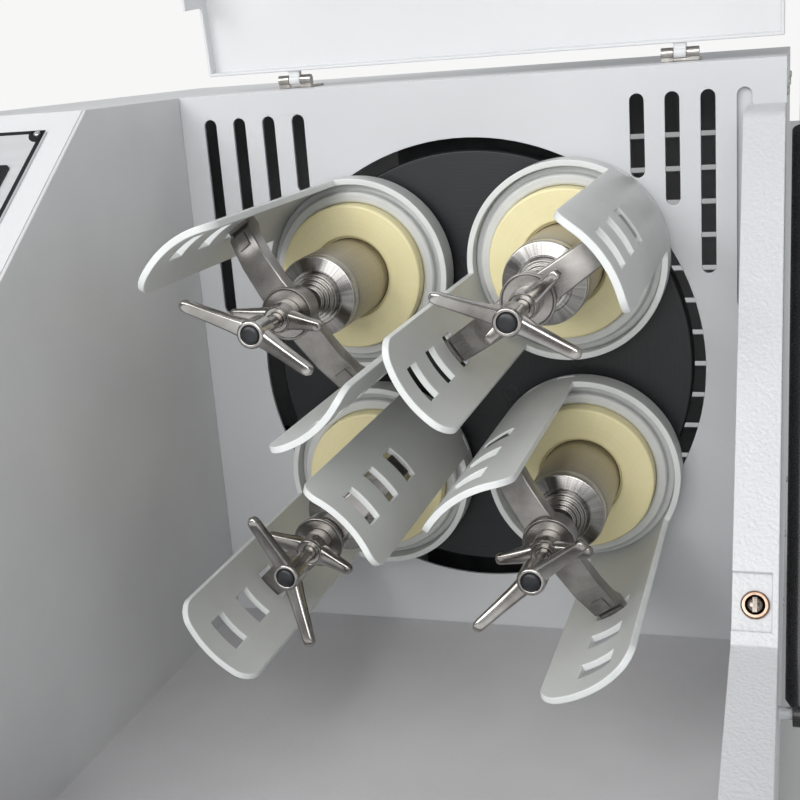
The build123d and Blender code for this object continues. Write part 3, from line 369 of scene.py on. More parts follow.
def on_slope(across, up, out=plate_face):
    # Where a turned piece stands on the plate
    place = plate_middle + Vector((across, 0, 0)) + slope_up * up + slope_out * out
    return Matrix.Translation(place) @ standing


plate_silver = finish("plate_silver", (0.66, 0.67, 0.68), (0.72, 0.73, 0.74), 0.38, metallic=0.2,
                      grain=900, stretch=(1, 14, 14))
print_black = finish("print_black", (0.010, 0.011, 0.013), (0.018, 0.019, 0.022), 0.35, grain=700)
plate = from_solid("control_plate", "anodised_plate", plate_silver, print_black)
for face in plate.data.polygons:
    if (face.center - plate_middle).dot(slope_out) > plate_face + 0.0001:
        face.material_index = 1
ease(plate, 0.0004, 2)
fit(plate, "control_plate")


# Plate border. A black line printed on the plate, round its whole edge, with a round lug under each of
# the four screws.
border_line = 0.0035


def plate_corner(side, end, inset):
    # A point this far in from both edges at one of the plate's corners, drawn flat
    return side * (plate_width / 2 - inset), end * (plate_length / 2 - inset), 0


bpy.ops.mesh.primitive_plane_add(size=1)
border = bpy.context.object
border.name = "plate_border"
border.scale = (plate_width - 0.0008, plate_length - 0.0008, 1)
bpy.ops.object.transform_apply()
bpy.ops.object.mode_set(mode="EDIT")
bpy.ops.mesh.inset(thickness=border_line)
bpy.ops.mesh.delete(type="FACE")
bpy.ops.object.mode_set(mode="OBJECT")
lugs = [border]
for side in (-1, 1):
    for end in (-1, 1):
        bpy.ops.mesh.primitive_circle_add(
            vertices=32, radius=0.0095, fill_type="NGON", location=plate_corner(side, end, border_line)
        )
        lug = bpy.context.object
        bpy.ops.object.transform_apply()
        bpy.ops.object.mode_set(mode="EDIT")
        for direction in ((side, 0, 0), (0, end, 0)):
            bpy.ops.mesh.select_all(action="SELECT")
            bpy.ops.mesh.bisect(
                plane_co=plate_corner(side, end, 0.0005), plane_no=direction, clear_outer=True
            )
        bpy.ops.object.mode_set(mode="OBJECT")
        lugs.insert(0, lug)
take(*lugs)
bpy.ops.object.join()
border = bpy.context.object
border.data.materials.append(print_black)
skin = border.modifiers.new("skin", "SOLIDIFY")
skin.thickness = 0.00018
skin.offset = 1
bpy.ops.object.modifier_apply(modifier=skin.name)
border.data.transform(laid @ Matrix.Translation((0, 0, plate_face + 0.00002)))
fit(border, "control_plate", replaced=False)


# Plate screws. Four round heads of zinc-plated steel hold the plate to the slope. Each is slotted for a
# driver, and has stopped at its own angle.
def turned(name, outline, sides=96, closed=False):
    # A lathe piece about the Y axis from its half outline in millimetres, radius and depth forward:
    # a circle is drawn at the first point, then extruded and scaled from point to point
    (radius, depth), rest = outline[0], outline[1:]
    bpy.ops.object.select_all(action="DESELECT")
    bpy.ops.mesh.primitive_circle_add(
        vertices=sides, radius=radius / 1000, location=(0, -depth / 1000, 0),
        rotation=(math.pi / 2, 0, 0),
    )
    piece = bpy.context.object
    piece.name = name
    bpy.ops.object.transform_apply()
    bpy.context.tool_settings.mesh_select_mode = (True, False, False)
    bpy.ops.object.mode_set(mode="EDIT")
    bpy.ops.mesh.select_all(action="SELECT")
    if not closed:
        bpy.ops.mesh.edge_face_add()
    for next_radius, next_depth in rest:
        step = (depth - next_depth) / 1000
        bpy.ops.mesh.extrude_edges_move(TRANSFORM_OT_translate={"value": (0, step, 0)})
        if next_radius != radius:
            grow = next_radius / radius
            bpy.ops.transform.resize(value=(grow, 1, grow), center_override=(0, -next_depth / 1000, 0))
        radius, depth = next_radius, next_depth
    if not closed:
        bpy.ops.mesh.edge_face_add()
    bpy.ops.mesh.select_all(action="SELECT")
    bpy.ops.mesh.remove_doubles(threshold=0.000005)
    bpy.ops.mesh.normals_make_consistent(inside=False)
    bpy.ops.object.mode_set(mode="OBJECT")
    return piece


zinc = finish("zinc_screws", (0.45, 0.45, 0.44), (0.62, 0.62, 0.61), 0.30, metallic=1.0, blotch=300,
              grain=1500)
for number, (side, end) in enumerate([(-1, -1), (1, -1), (1, 1), (-1, 1)], 1):
    screw = turned(f"plate_screw_{number}", [(2.6, 0), (2.6, 0.9), (1.9, 1.5), (0.4, 1.7)], 28)
    bpy.ops.mesh.primitive_cube_add(location=(0, -0.0017, 0))
    groove = bpy.context.object
    groove.scale = (0.0004, 0.0006, 0.004)
    take(screw)
    cut = screw.modifiers.new("driver_slot", "BOOLEAN")
    cut.operation = "DIFFERENCE"
    cut.object = groove
    bpy.ops.object.modifier_apply(modifier=cut.name)
    bpy.data.objects.remove(groove)
    screw.data.materials.append(zinc)
    ease(screw, 0.0001, 1)
    across, up = side * (plate_width / 2 - 0.0058), end * (plate_length / 2 - 0.0045)
    turn = Matrix.Rotation(math.radians(25 + 70 * number), 4, "Y")
    screw.data.transform(on_slope(across, up, plate_face + 0.0002) @ turn)
    fit(screw, "control_plate", replaced=False)


# Display. A pane of near-black glass that lies in the plate's bezel above the buttons, unlit and with
# eased edges.
bpy.ops.mesh.primitive_cube_add(location=(0, 0.062, plate_face + 0.0007))
glass = bpy.context.object
glass.name = "display_glass"
glass.scale = (0.0388, 0.0258, 0.0006)
bpy.ops.object.transform_apply()
display_glass = finish("display_glass", (0.004, 0.010, 0.016), (0.008, 0.017, 0.026), 0.08, blotch=20,
                       grain=300, relief=0.000004, spread=0.03)
glass.data.materials.append(display_glass)
glass.data.transform(laid)
ease(glass, 0.0003, 2)
fit(glass, "control_plate", replaced=False)


# Collars. Chromed rings stand round the green and the red button, and a flat yellow one lies round the
# neck of the emergency stop, wide enough for the neck to sink into it.
button_places = {"start": (-0.030, -0.008), "stop": (0.030, -0.008), "emergency": (0.0, -0.072)}
chrome = finish("chrome", (0.72, 0.73, 0.74), (0.82, 0.83, 0.84), 0.09, metallic=1.0, blotch=30,
                grain=900, relief=0.00001, spread=0.03)
yellow = finish("collar_yellow", (0.72, 0.50, 0.02), (0.80, 0.57, 0.03), 0.42, grain=900)
ring_outline = [(11.5, 0), (14.5, 0), (14.5, 3.0), (13.3, 4.2), (11.5, 3.7), (11.5, 0)]
flat_outline = [(13.2, 0), (22.5, 0), (22.5, 1.4), (21, 2.2), (13.2, 2.2), (13.2, 0)]
for name, outline, sides, colour, slot in (
    ("start", ring_outline, 64, chrome, "chrome"),
    ("stop", ring_outline, 64, chrome, "chrome"),
    ("emergency", flat_outline, 72, yellow, "control_plate"),
):
    collar = turned(name + "_collar", outline, sides, closed=True)
    collar.data.materials.append(colour)
    ease(collar, 0.0003, 2)
    collar.data.transform(on_slope(*button_places[name], plate_face + 0.00005))
    fit(collar, "control_plate", replaced=False)


# Buttons. Two round caps moulded in green and red with a dished top, and the red mushroom of the
# emergency stop on its neck. Each slides on a stem that goes down through the slope.
green = finish("button_green", (0.01, 0.30, 0.06), (0.02, 0.38, 0.09), 0.30, grain=900, relief=0.00002)
red = finish("button_red", (0.42, 0.012, 0.010), (0.52, 0.020, 0.015), 0.30, grain=900, relief=0.00002)
cap_outline = [
    (7, -18.7), (7, 3.3), (11, 3.3), (11, 8.2), (10.1, 9.2), (8.6, 9.3), (5.5, 8.8), (0.6, 8.7),
]
mushroom_outline = [
    (7, -16.7), (7, 5.3), (12.5, 5.3), (12.5, 12.5), (19.2, 15.2), (20, 17), (20, 21.8), (18.4, 25.2),
    (14.2, 27.0), (9.0, 27.2), (0.6, 27.3),
]
for name, node, outline, colour, slot in (
    ("start", "start_button", cap_outline, green, "green_button"),
    ("stop", "stop_button", cap_outline, red, "red_button"),
    ("emergency", "emergency_stop", mushroom_outline, red, "red_button"),
):
    button = turned(node + "_cap", outline, 72)
    button.data.materials.append(colour)
    ease(button, 0.0004, 3)
    button.data.transform(on_slope(*button_places[name]))
    fit(button, node)


# Rear cover. Top, sides and back folded in one shell over the drive, in the console's coat, the back
# punched with two columns of louvres.
cover = from_solid("rear_cover", "folded_cover", console_coat)
ease(cover, 0.0008, 3)
fit(cover, "rear_cover")


# Cover screws. Pan heads of zinc-plated steel with a sunk drive, three pairs along each side of the
# cover and three along its back.
cover_left, cover_right, cover_back = console_left, 0.316, 0.400
screw_outline = [(3.6, 0), (3.6, 0.7), (3.0, 1.5), (1.8, 1.9), (1.6, 0.9), (0.3, 0.9)]
cover_places = []
for y in (0.060, 0.216, 0.372):
    for z in (0.100, 0.525):
        cover_places.append(((cover_right, y, z), 90))
        cover_places.append(((cover_left, y, z), -90))
for x in (-0.315, -0.012, 0.291):
    for z in (0.092, 0.528):
        cover_places.append(((x, cover_back, z), 180))
heads = []
for place, facing in cover_places:
    head = turned("cover_screw", screw_outline, 20)
    head.data.transform(Matrix.Translation(place) @ Matrix.Rotation(math.radians(facing), 4, "Z"))
    heads.append(head)
take(*heads)
bpy.ops.object.join()
heads = bpy.context.object
heads.name = "cover_screws"
heads.data.materials.append(zinc)
ease(heads, 0.0002, 1)
fit(heads, "rear_cover", replaced=False)


# Power inlet and mains rocker. A moulded black block in the rear cover with three flat pins in its
# socket, and a rocker beside it that tilts on two side pips.
moulded_black = finish("moulded_black", (0.012, 0.012, 0.013), (0.022, 0.022, 0.024), 0.42, blotch=80,
                       grain=1400, relief=0.00003)
pin_steel = finish("pin_steel", (0.55, 0.55, 0.54), (0.70, 0.70, 0.69), 0.28, metallic=1.0, blotch=200,
                   grain=1500)
inlet_x, inlet_z = -0.280, 0.120
inlet = from_solid("power_inlet", "moulded_inlet", moulded_black, pin_steel)
for face in inlet.data.polygons:
    at = face.center
    if abs(at.x - inlet_x) < 0.0165 and abs(at.z - inlet_z) < 0.0045 and at.y < 0.3945:
        face.material_index = 1
ease(inlet, 0.0003, 2)
fit(inlet, "power_inlet")
rocker = from_solid("power_switch", "mains_rocker", moulded_black)
ease(rocker, 0.0008, 3)
fit(rocker, "power_switch")


# Drive behind the wheel. The cast bearing plate and housing, the finned motor, its pulley, the ribbed
# belts, and the shaft and bearings that turn with the wheel keep their solids and take their finish.
cast_iron = finish("cast_iron", (0.10, 0.105, 0.11), (0.15, 0.155, 0.16), 0.62, metallic=0.6, blotch=40,
                   grain=500, relief=0.00015)
motor_paint = finish("motor_paint", (0.16, 0.19, 0.22), (0.20, 0.235, 0.27), 0.45, blotch=15, grain=600,
                     relief=0.0001)
belt_rubber = finish("belt_rubber", (0.014, 0.014, 0.014), (0.028, 0.028, 0.028), 0.8, blotch=90,
                     grain=900)
turned_steel = finish("turned_steel", (0.42, 0.42, 0.42), (0.55, 0.55, 0.55), 0.34, metallic=1.0,
                      blotch=25, grain=900, stretch=(1, 6, 1))
for node, surface in (
    ("main_bearing", cast_iron),
    ("motor", motor_paint),
    ("motor_pulley", cast_iron),
    ("drive_belt", belt_rubber),
    ("planet_belts", belt_rubber),
    ("wheel_shaft", turned_steel),
):
    solid = nodes[node]
    solid.data.materials.clear()
    solid.data.materials.append(surface)
    for face in solid.data.polygons:
        face.material_index = 0


# Wheel. A thick steel disc, turned and blackened: satin, with faint lathe rings and a chamfered rim. It
# turns close behind the panel's round hole.
def turned_finish(name, dark, light, roughness, metallic, pitch=0.0007, relief=0.00002, centre=None,
                  painted_fan_share=0.0, spread=0.05, strength=0.4):
    # Fine rings about the piece's own axis, and a painted highlight: bright and dark sectors round the
    # axis, painted into the colour and roughness as the fan of light that lathe marks throw, in the
    # share given for the fan. The axis runs through the given centre, or where the piece stood on the
    # lathe
    surface = new_surface(name, metallic)
    tree = surface.node_tree
    if centre is None:
        where = tree.nodes.new("ShaderNodeAttribute")
        where.attribute_name = "turned_place"
        at = where.outputs["Vector"]
    else:
        where = tree.nodes.new("ShaderNodeTexCoord")
        moved = tree.nodes.new("ShaderNodeMapping")
        moved.inputs["Location"].default_value = (-centre[0], 0, -centre[1])
        tree.links.new(where.outputs["Object"], moved.inputs["Vector"])
        at = moved.outputs["Vector"]
    flat = tree.nodes.new("ShaderNodeVectorMath")
    flat.operation = "MULTIPLY"
    flat.inputs[1].default_value = (1, 0, 1)
    tree.links.new(at, flat.inputs[0])
    radius = tree.nodes.new("ShaderNodeVectorMath")
    radius.operation = "LENGTH"
    tree.links.new(flat.outputs["Vector"], radius.inputs[0])
    along = tree.nodes.new("ShaderNodeSeparateXYZ")
    tree.links.new(at, along.inputs["Vector"])
    ring_line = tree.nodes.new("ShaderNodeMath")
    ring_line.operation = "ADD"
    tree.links.new(radius.outputs["Value"], ring_line.inputs[0])
    tree.links.new(along.outputs["Y"], ring_line.inputs[1])
    rings = tree.nodes.new("ShaderNodeTexNoise")
    rings.noise_dimensions = "1D"
    rings.inputs["Scale"].default_value = 1 / pitch
    rings.inputs["Detail"].default_value = 3.0
    tree.links.new(ring_line.outputs[0], rings.inputs["W"])
    # Painted highlight: a noise round the axis gives bright and dark sectors, the fan that a turned face
    # shows in the light
    spoke = tree.nodes.new("ShaderNodeVectorMath")
    spoke.operation = "NORMALIZE"
    tree.links.new(flat.outputs["Vector"], spoke.inputs[0])
    fan_of_painted_highlights = noise(tree, 3.0, 6.0, spoke.outputs["Vector"])
    fan_of_painted_highlights.inputs["Roughness"].default_value = 0.7
    # The painted fan is mixed with the rings in its share, and the mix goes to both colour and roughness
    blend = tree.nodes.new("ShaderNodeMix")
    blend.inputs["Factor"].default_value = painted_fan_share
    tree.links.new(rings.outputs["Fac"], blend.inputs["A"])
    tree.links.new(fan_of_painted_highlights.outputs["Fac"], blend.inputs["B"])
    rings_and_painted_highlights = blend.outputs["Result"]
    lay_on(surface, rings_and_painted_highlights, rings_and_painted_highlights, rings.outputs["Fac"], (dark, light), (0.36, 0.64), roughness, spread,
           relief, strength)
    return surface


wheel_x, wheel_z = 0.066, 0.315
blackened = turned_finish("blackened_steel", (0.012, 0.013, 0.015), (0.020, 0.021, 0.024), 0.42, 0.0,
                          pitch=0.0012, relief=0.00001, centre=(wheel_x, wheel_z), spread=0.06)
wheel = from_solid("wheel_disc", "turned_wheel", blackened)
ease(wheel, 0.0005, 2)
fit(wheel, "wheel_disc")


# Wheel bolts. Eight blackened screws with hollow heads, nearly flush with the wheel: one on each
# station's line near the middle, and one half-way between each two stations.
first_line = 47.3


def round_wheel(reach, angle):
    # The place this far from the wheel's middle, at an angle up from its right
    turn = math.radians(angle)
    return wheel_x + reach * math.cos(turn), wheel_z + reach * math.sin(turn)


wheel_front = 0.0396
bolt_outline = [
    (7.4, -0.5), (7.4, 0.15), (7.0, 0.45), (4.4, 0.45), (4.1, 0.1), (4.1, -0.4), (0.4, -0.4),
]
bolts = []
for quarter in (0, 90, 180, 270):
    for reach, angle in ((0.0383, first_line + quarter), (0.0866, first_line - 45 + quarter)):
        bolt = turned("wheel_bolt", bolt_outline, 36)
        x, z = round_wheel(reach, angle)
        bolt.data.transform(Matrix.Translation((x, wheel_front, z)))
        bolts.append(bolt)
take(*bolts)
bpy.ops.object.join()
bolts = bpy.context.object
bolts.name = "wheel_bolts"
black_screws = finish("black_screws", (0.03, 0.03, 0.032), (0.05, 0.05, 0.054), 0.36, metallic=0.5,
                      grain=900)
bolts.data.materials.append(black_screws)
ease(bolts, 0.0001, 1)
fit(bolts, "wheel_disc", replaced=False)


# Seats. A dish turned from aluminium with a grooved rim, in one piece with the shaft that goes back
# through the wheel to its belt pulley. Four of them stand round the wheel, counted from the upper right,
# and carry the stations. A station's piece is made once about the Y axis, then set at each at its angle.
station_places = [round_wheel(0.125, first_line + quarter) for quarter in (0, 90, 180, 270)]
panel_front = 0.030


def keep_place(piece):
    # Remember on the mesh where each point was on the lathe, for the turned finishes
    points = piece.data.attributes.new("turned_place", "FLOAT_VECTOR", "POINT")
    for number, point in enumerate(piece.data.vertices):
        points.data[number].vector = point.co


def set_at(piece, station, angle, node):
    # One more of the made piece, with its own mesh, at a station and angle
    copy = bpy.data.objects.new(f"station_{station + 1}_{piece.name}", piece.data.copy())
    bpy.context.scene.collection.objects.link(copy)
    x, z = station_places[station]
    turn = Matrix.Rotation(-math.radians(angle), 4, "Y")
    copy.data.transform(Matrix.Translation((x, panel_front, z)) @ turn)
    fit(copy, f"planet_{station + 1}_{node}")


def set_all(piece, angles, node):
    # The made piece at all four stations, after which the one on the lathe is put away
    for station, angle in enumerate(angles):
        set_at(piece, station, angle, node)
    bpy.data.objects.remove(piece)


# Painted highlight: the dish's colour has a share of bright and dark sectors round its axis
dish_grey = turned_finish("dish_grey", (0.62, 0.63, 0.625), (0.70, 0.71, 0.705), 0.34, 0.1, pitch=0.0009,
                          relief=0.00001, painted_fan_share=0.4)
for station in range(4):
    pulley = -(78.0 + 11.0 * station)
    seat = turned("turned_seat", [
        (15, -123), (15, pulley - 9), (27, pulley - 9), (27, pulley), (15, pulley), (15, -9.3),
        (40, -9.3), (40, 4), (74.4, 4), (74.4, 6.2), (66, 6.2), (66, 11.2), (74.4, 11.2), (74.4, 15),
        (73.2, 16), (69.6, 16), (68.5, 17), (68.5, 23.4), (67, 25), (61.5, 25), (60, 24), (60, 12),
        (1, 12),
    ], 128)
    seat.data.materials.append(dish_grey)
    ease(seat, 0.0004, 2)
    keep_place(seat)
    set_at(seat, station, 31 * station, "seat")
    bpy.data.objects.remove(seat)


# Cages. A tube machined away to two long ears, with three windows in each for the bar and drain slots
# at the root. The coat is dull pale grey, and the cut edges are whiter.
cage_grey = finish("cage_grey", (0.60, 0.61, 0.595), (0.67, 0.68, 0.665), 0.36, blotch=14, grain=1300,
                   relief=0.00002)
cut_edge = finish("cut_edge", (0.72, 0.74, 0.73), (0.80, 0.82, 0.81), 0.30, blotch=40, grain=1300)
bar_angles = [34.3, 126.5, 42.2, 122.5]
cage_radius = 0.0795
cage_wall = 0.005
cage_back, cage_front = 0.003, 0.262
drain_back, drain_front = 0.0075, 0.0105
ear_root = 0.027
ear_half = 0.0385
tip_radius = 0.014
window_depths = [0.143, 0.187, 0.231]
window_half_depth = 0.0095
window_half = 0.014
bpy.ops.object.select_all(action="DESELECT")
bpy.ops.mesh.primitive_cylinder_add(
    vertices=144, radius=cage_radius, depth=cage_front - cage_back, end_fill_type="NOTHING",
    location=(0, -(cage_front + cage_back) / 2, 0), rotation=(math.pi / 2, 0, 0),
)
cage = bpy.context.object
cage.name = "eared_cage"
bpy.ops.object.transform_apply()
bpy.ops.object.mode_set(mode="EDIT")
cuts = [drain_back, drain_front, ear_root]
for middle in window_depths:
    cuts += [middle - window_half_depth, middle + window_half_depth]
for depth in cuts:
    bpy.ops.mesh.select_all(action="SELECT")
    bpy.ops.mesh.bisect(plane_co=(0, -depth, 0), plane_no=(0, 1, 0))
for z in (-ear_half, -window_half, window_half, ear_half):
    bpy.ops.mesh.select_all(action="SELECT")
    bpy.ops.mesh.bisect(plane_co=(0, 0, z), plane_no=(0, 0, 1))
bpy.ops.object.mode_set(mode="OBJECT")


def cut_away(at):
    # True where the tube is cut away: beside the ears, at the windows and at the drain slots
    depth = -at.y
    if depth > ear_root and abs(at.z) > ear_half:
        return True
    for middle in window_depths:
        if abs(depth - middle) < window_half_depth and abs(at.z) < window_half:
            return True
    around = math.degrees(math.atan2(at.z, abs(at.x)))
    return drain_back < depth < drain_front and any(abs(around - turn) < 5 for turn in (-22.5, 0, 22.5))


edit_faces(cage, lambda face: cut_away(face.center))
bpy.ops.mesh.delete(type="FACE")
bpy.ops.object.mode_set(mode="OBJECT")
# The corners of the ear tips are rounded a chord at a time
for side in (-1, 1):
    for step in range(9):
        turn = math.radians(6 + 9.75 * step)
        across, along = math.cos(turn), math.sin(turn)
        point_y = -(cage_front - tip_radius + tip_radius * along)
        point_z = side * (ear_half - tip_radius + tip_radius * across)
        edit_faces(cage, lambda face: -face.center.y > window_depths[2] + window_half_depth)
        bpy.ops.mesh.bisect(
            plane_co=(0, point_y, point_z), plane_no=(0, -along, side * across), clear_outer=True
        )
        bpy.ops.object.mode_set(mode="OBJECT")
bpy.ops.object.mode_set(mode="EDIT")
bpy.ops.mesh.select_all(action="SELECT")
bpy.ops.mesh.remove_doubles(threshold=0.00002)
bpy.ops.mesh.normals_make_consistent(inside=False)
bpy.ops.object.mode_set(mode="OBJECT")
cage.data.materials.append(cage_grey)
cage.data.materials.append(cut_edge)
wall = cage.modifiers.new("wall", "SOLIDIFY")
wall.thickness = cage_wall
wall.offset = -1
wall.use_even_offset = True
wall.material_offset_rim = 1
bpy.ops.object.modifier_apply(modifier=wall.name)
ease(cage, 0.0008, 3, angle=35)
set_all(cage, bar_angles, "cage")


# Adapters. A thick ring of cream nylon lies in each dish and centres the jar in its bore, which has a
# close lip a little below its mouth.
# Painted highlight: the nylon's colour has a share of bright and dark sectors round its axis
cream = turned_finish("cream_nylon", (0.88, 0.79, 0.44), (0.93, 0.85, 0.52), 0.38, 0.0, pitch=0.0016,
                      relief=0.00001, painted_fan_share=0.5)
adapter = turned("nylon_adapter", [
    (31.9, 12.3), (59.6, 12.3), (59.6, 33.4), (59.0, 35.4), (57.0, 36.5), (34.6, 36.5), (33.5, 35.4),
    (33.5, 33.2), (31.9, 32.6), (31.9, 12.3),
], 128, closed=True)
adapter.data.materials.append(cream)
ease(adapter, 0.0005, 3)
keep_place(adapter)
set_all(adapter, (0, 40, 80, 120), "adapter")


# Jars. A stainless pot turned from bar stands in the adapter, with a fine lip at its mouth. Its side is
# left duller from the lathe.
# Painted highlight: the jar side's colour has a share of bright and dark sectors round its axis
jar_side = turned_finish("jar_side", (0.36, 0.33, 0.30), (0.54, 0.505, 0.465), 0.42, 1.0, pitch=0.0012,
                         relief=0.000004, painted_fan_share=0.3, spread=0.08)
jar = turned("turned_jar", [
    (1, 12.3), (30.5, 12.3), (31.5, 13.3), (31.5, 103.2), (31.0, 103.8), (31.0, 104.6), (31.4, 105.2),
    (31.2, 106), (27.5, 106), (27.5, 17.3), (26.5, 16.3), (1, 16.3),
], 96)
jar.data.materials.append(jar_side)
ease(jar, 0.0002, 1)
keep_place(jar)
set_all(jar, (0, 25, 50, 75), "jar")


# Jar lids. A stainless plug sits in the jar's mouth: a brushed edge, then a broad polished cone up to a
# flat face for the pad. The cone's colour carries strong painted highlights, bright and dark sectors
# round its axis.
# Painted highlight: the stainless has a share of bright and dark sectors round the axis in its colour
stainless = turned_finish("turned_stainless", (0.34, 0.33, 0.31), (0.60, 0.585, 0.56), 0.24, 1.0,
                          pitch=0.0006, relief=0.000012, painted_fan_share=0.45, spread=0.08)
# Painted highlight: the cone's colour swings from near black to bright in sectors round the axis
cone_painted_fan = turned_finish("turned_cone_painted_fan", (0.12, 0.115, 0.11), (0.46, 0.45, 0.435), 0.22, 1.0,
                            pitch=0.0004, relief=0.00001, painted_fan_share=0.8, spread=0.08)
cone_root = 0.1149
jar_lid = turned("jar_lid", [
    (1, 98), (27.2, 98), (27.2, 106.3), (30.9, 106.3), (31.3, 107.0), (31.3, 113.6), (31.0, 114.6),
    (30.2, 115.2), (21.4, 117.3), (20.7, 118), (12, 118), (1, 118),
], 96)
jar_lid.data.materials.append(stainless)
jar_lid.data.materials.append(cone_painted_fan)
for face in jar_lid.data.polygons:
    if -face.center.y > cone_root:
        face.material_index = 1
ease(jar_lid, 0.0002, 2, angle=25)
keep_place(jar_lid)
set_all(jar_lid, (0, 55, 110, 165), "jar_lid")


# Pressure pads. A slug of stainless steel under the screw's end, turned in four steps like a pile of
# washers, which presses on the jar's lid.
pad = turned("stepped_pad", [
    (1, 118.3), (18.5, 118.3), (18.5, 121.9), (16, 121.9), (16, 125.5), (13.5, 125.5), (13.5, 129.1),
    (11, 129.1), (11, 132.7), (5.58, 132.7), (5.58, 123.7), (1, 123.7),
], 80)
# The pad's stainless carries the same painted highlight sectors in its colour
pad.data.materials.append(stainless)
ease(pad, 0.0006, 3)
keep_place(pad)
set_all(pad, (0, 20, 40, 60), "pad")


# Clamping bars. A stainless casting, blasted and lightly polished: a bridge that rises from its tongues
# in the ears' windows, with a wear pad on each slope and a round threaded boss with a rim like a washer.
cast_steel = finish("cast_stainless", (0.21, 0.20, 0.19), (0.43, 0.41, 0.395), 0.30, metallic=1.0,
                    blotch=38, grain=1100, relief=0.00005, strength=0.5, spread=0.08)
# The bar of the second station lies a little askew in its windows
bar_turns = [0, -2, 0, 0]
blank_middle = 0.1452
blank_half = 0.012
bpy.ops.object.select_all(action="DESELECT")
bpy.ops.mesh.primitive_cube_add(location=(0, -blank_middle, 0))
arm = bpy.context.object
arm.name = "clamp_bar"
arm.scale = (blank_half, 0.007, 0.0118)
bpy.ops.object.transform_apply()
for side in (-1, 1):
    end = blank_half
    for length, narrow in (
        (0.010, 0.97), (0.023, 0.94), (0.015, 0.95), (0.008, 0.97), (0.0035, 0.99), (0.007, 0.98),
    ):
        edit_faces(arm, lambda face: side * face.normal.x > 0.5)
        bpy.ops.mesh.extrude_region_move(TRANSFORM_OT_translate={"value": (side * length, 0, 0)})
        end += length
        bpy.ops.transform.resize(
            value=(1, 1, narrow), center_override=(side * end, -blank_middle, 0)
        )
        bpy.ops.object.mode_set(mode="OBJECT")
# The blank is bent into the bridge, in millimetres: at each place along it, the depths of its back and
# of its front
bridge = {12: (158, 170.5), 22: (158, 170.5), 45: (153.5, 167.5), 60: (147, 161.6), 68: (138.2, 158.5),
          71.5: (138.2, 152.2), 78.5: (138.2, 152.2)}
for point in arm.data.vertices:
    back, front = bridge[round(abs(point.co.x) * 2000) / 2]
    point.co.y = -(front if -point.co.y > blank_middle else back) / 1000
ease(arm, 0.0014, 3, angle=25)
arm.data.materials.append(cast_steel)
wear_across, wear_depth, wear_lean = 0.0617, 0.1611, 0.373
parts = []
for side in (-1, 1):
    bpy.ops.object.select_all(action="DESELECT")
    bpy.ops.mesh.primitive_cube_add(
        location=(side * wear_across, -wear_depth, 0), rotation=(0, 0, side * wear_lean)
    )
    wear = bpy.context.object
    wear.scale = (0.0056, 0.0012, 0.0050)
    bpy.ops.object.transform_apply()
    edit_faces(wear, lambda face: face.normal.y < -0.9)
    bpy.ops.mesh.inset(thickness=0.0012)
    bpy.ops.transform.translate(value=(0, 0.0005, 0))
    bpy.ops.object.mode_set(mode="OBJECT")
    ease(wear, 0.0004, 2)
    wear.data.materials.append(cast_steel)
    parts.append(wear)
boss = turned("bar_boss", [
    (5.58, 154), (16.4, 154), (17.2, 154.8), (17.2, 171.2), (17.8, 172.0), (19.1, 172.0), (19.5, 172.8),
    (19.5, 175.0), (19.2, 175.7), (18.7, 176), (18.1, 175.8), (17.7, 175.2), (16.8, 174.9),
    (12.0, 175.0), (5.58, 175.0), (5.58, 154),
], 96, closed=True)
ease(boss, 0.0004, 2)
boss.data.materials.append(cast_steel)
take(*parts, boss, arm)
bpy.ops.object.join()
bar = bpy.context.object
bar.name = "clamp_bar"
keep_place(bar)
bar_set = [angle + askew for angle, askew in zip(bar_angles, bar_turns)]
set_all(bar, bar_set, "bar")


# Clamping screws. A smooth shank with a forged tee handle: a short hub with a bright rim, a black cap
# pressed in its end, and two tapered arms with rounded tips that lean forward.
def forged_arm(name, sections, depth, tilt):
    # A tapered arm along X, flat on its four sides with well rounded corners, from its sections:
    # place, half width and half thickness in millimetres. It leans forward from the hub by the tilt
    place, wide, thick = sections[0]
    bpy.ops.object.select_all(action="DESELECT")
    bpy.ops.mesh.primitive_cylinder_add(
        vertices=28, radius=0.001, depth=0.001, end_fill_type="NGON",
        location=(place / 1000 - 0.0005, 0, 0), rotation=(0, math.pi / 2, 0),
    )
    limb = bpy.context.object
    limb.name = name
    bpy.ops.object.transform_apply()
    for near, far in zip([(place, 1, 1), *sections], sections):
        step = (far[0] - near[0]) / 1000
        edit_faces(limb, lambda face: face.normal.x > 0.9)
        bpy.ops.mesh.extrude_region_move(TRANSFORM_OT_translate={"value": (step, 0, 0)})
        bpy.ops.transform.resize(
            value=(1, far[2] / near[2], far[1] / near[1]), center_override=(far[0] / 1000, 0, 0)
        )
        bpy.ops.object.mode_set(mode="OBJECT")
    squareness = 0.42
    girth = {round(place, 1): (wide / 1000, thick / 1000) for place, wide, thick in sections}
    for point in limb.data.vertices:
        wide, thick = girth.get(round(point.co.x * 1000, 1), (0.001, 0.001))
        for axis, half in ((1, thick), (2, wide)):
            share = min(abs(point.co[axis]) / half, 1)
            point.co[axis] = math.copysign(half * share ** squareness, point.co[axis])
    bpy.ops.object.shade_smooth_by_angle(angle=math.radians(50))
    leaned = Matrix.Rotation(-math.radians(tilt), 4, "Z")
    limb.data.transform(Matrix.Translation((0, -depth / 1000, 0)) @ leaned)
    return limb


def both_ways(limb, *others):
    # The arm and its twin on the other side of the hub, joined to the hub
    twin = bpy.data.objects.new(limb.name + "_twin", limb.data.copy())
    bpy.context.scene.collection.objects.link(twin)
    twin.data.transform(Matrix.Rotation(math.pi, 4, "Y"))
    take(limb, twin, *others)
    bpy.ops.object.join()
    return bpy.context.object


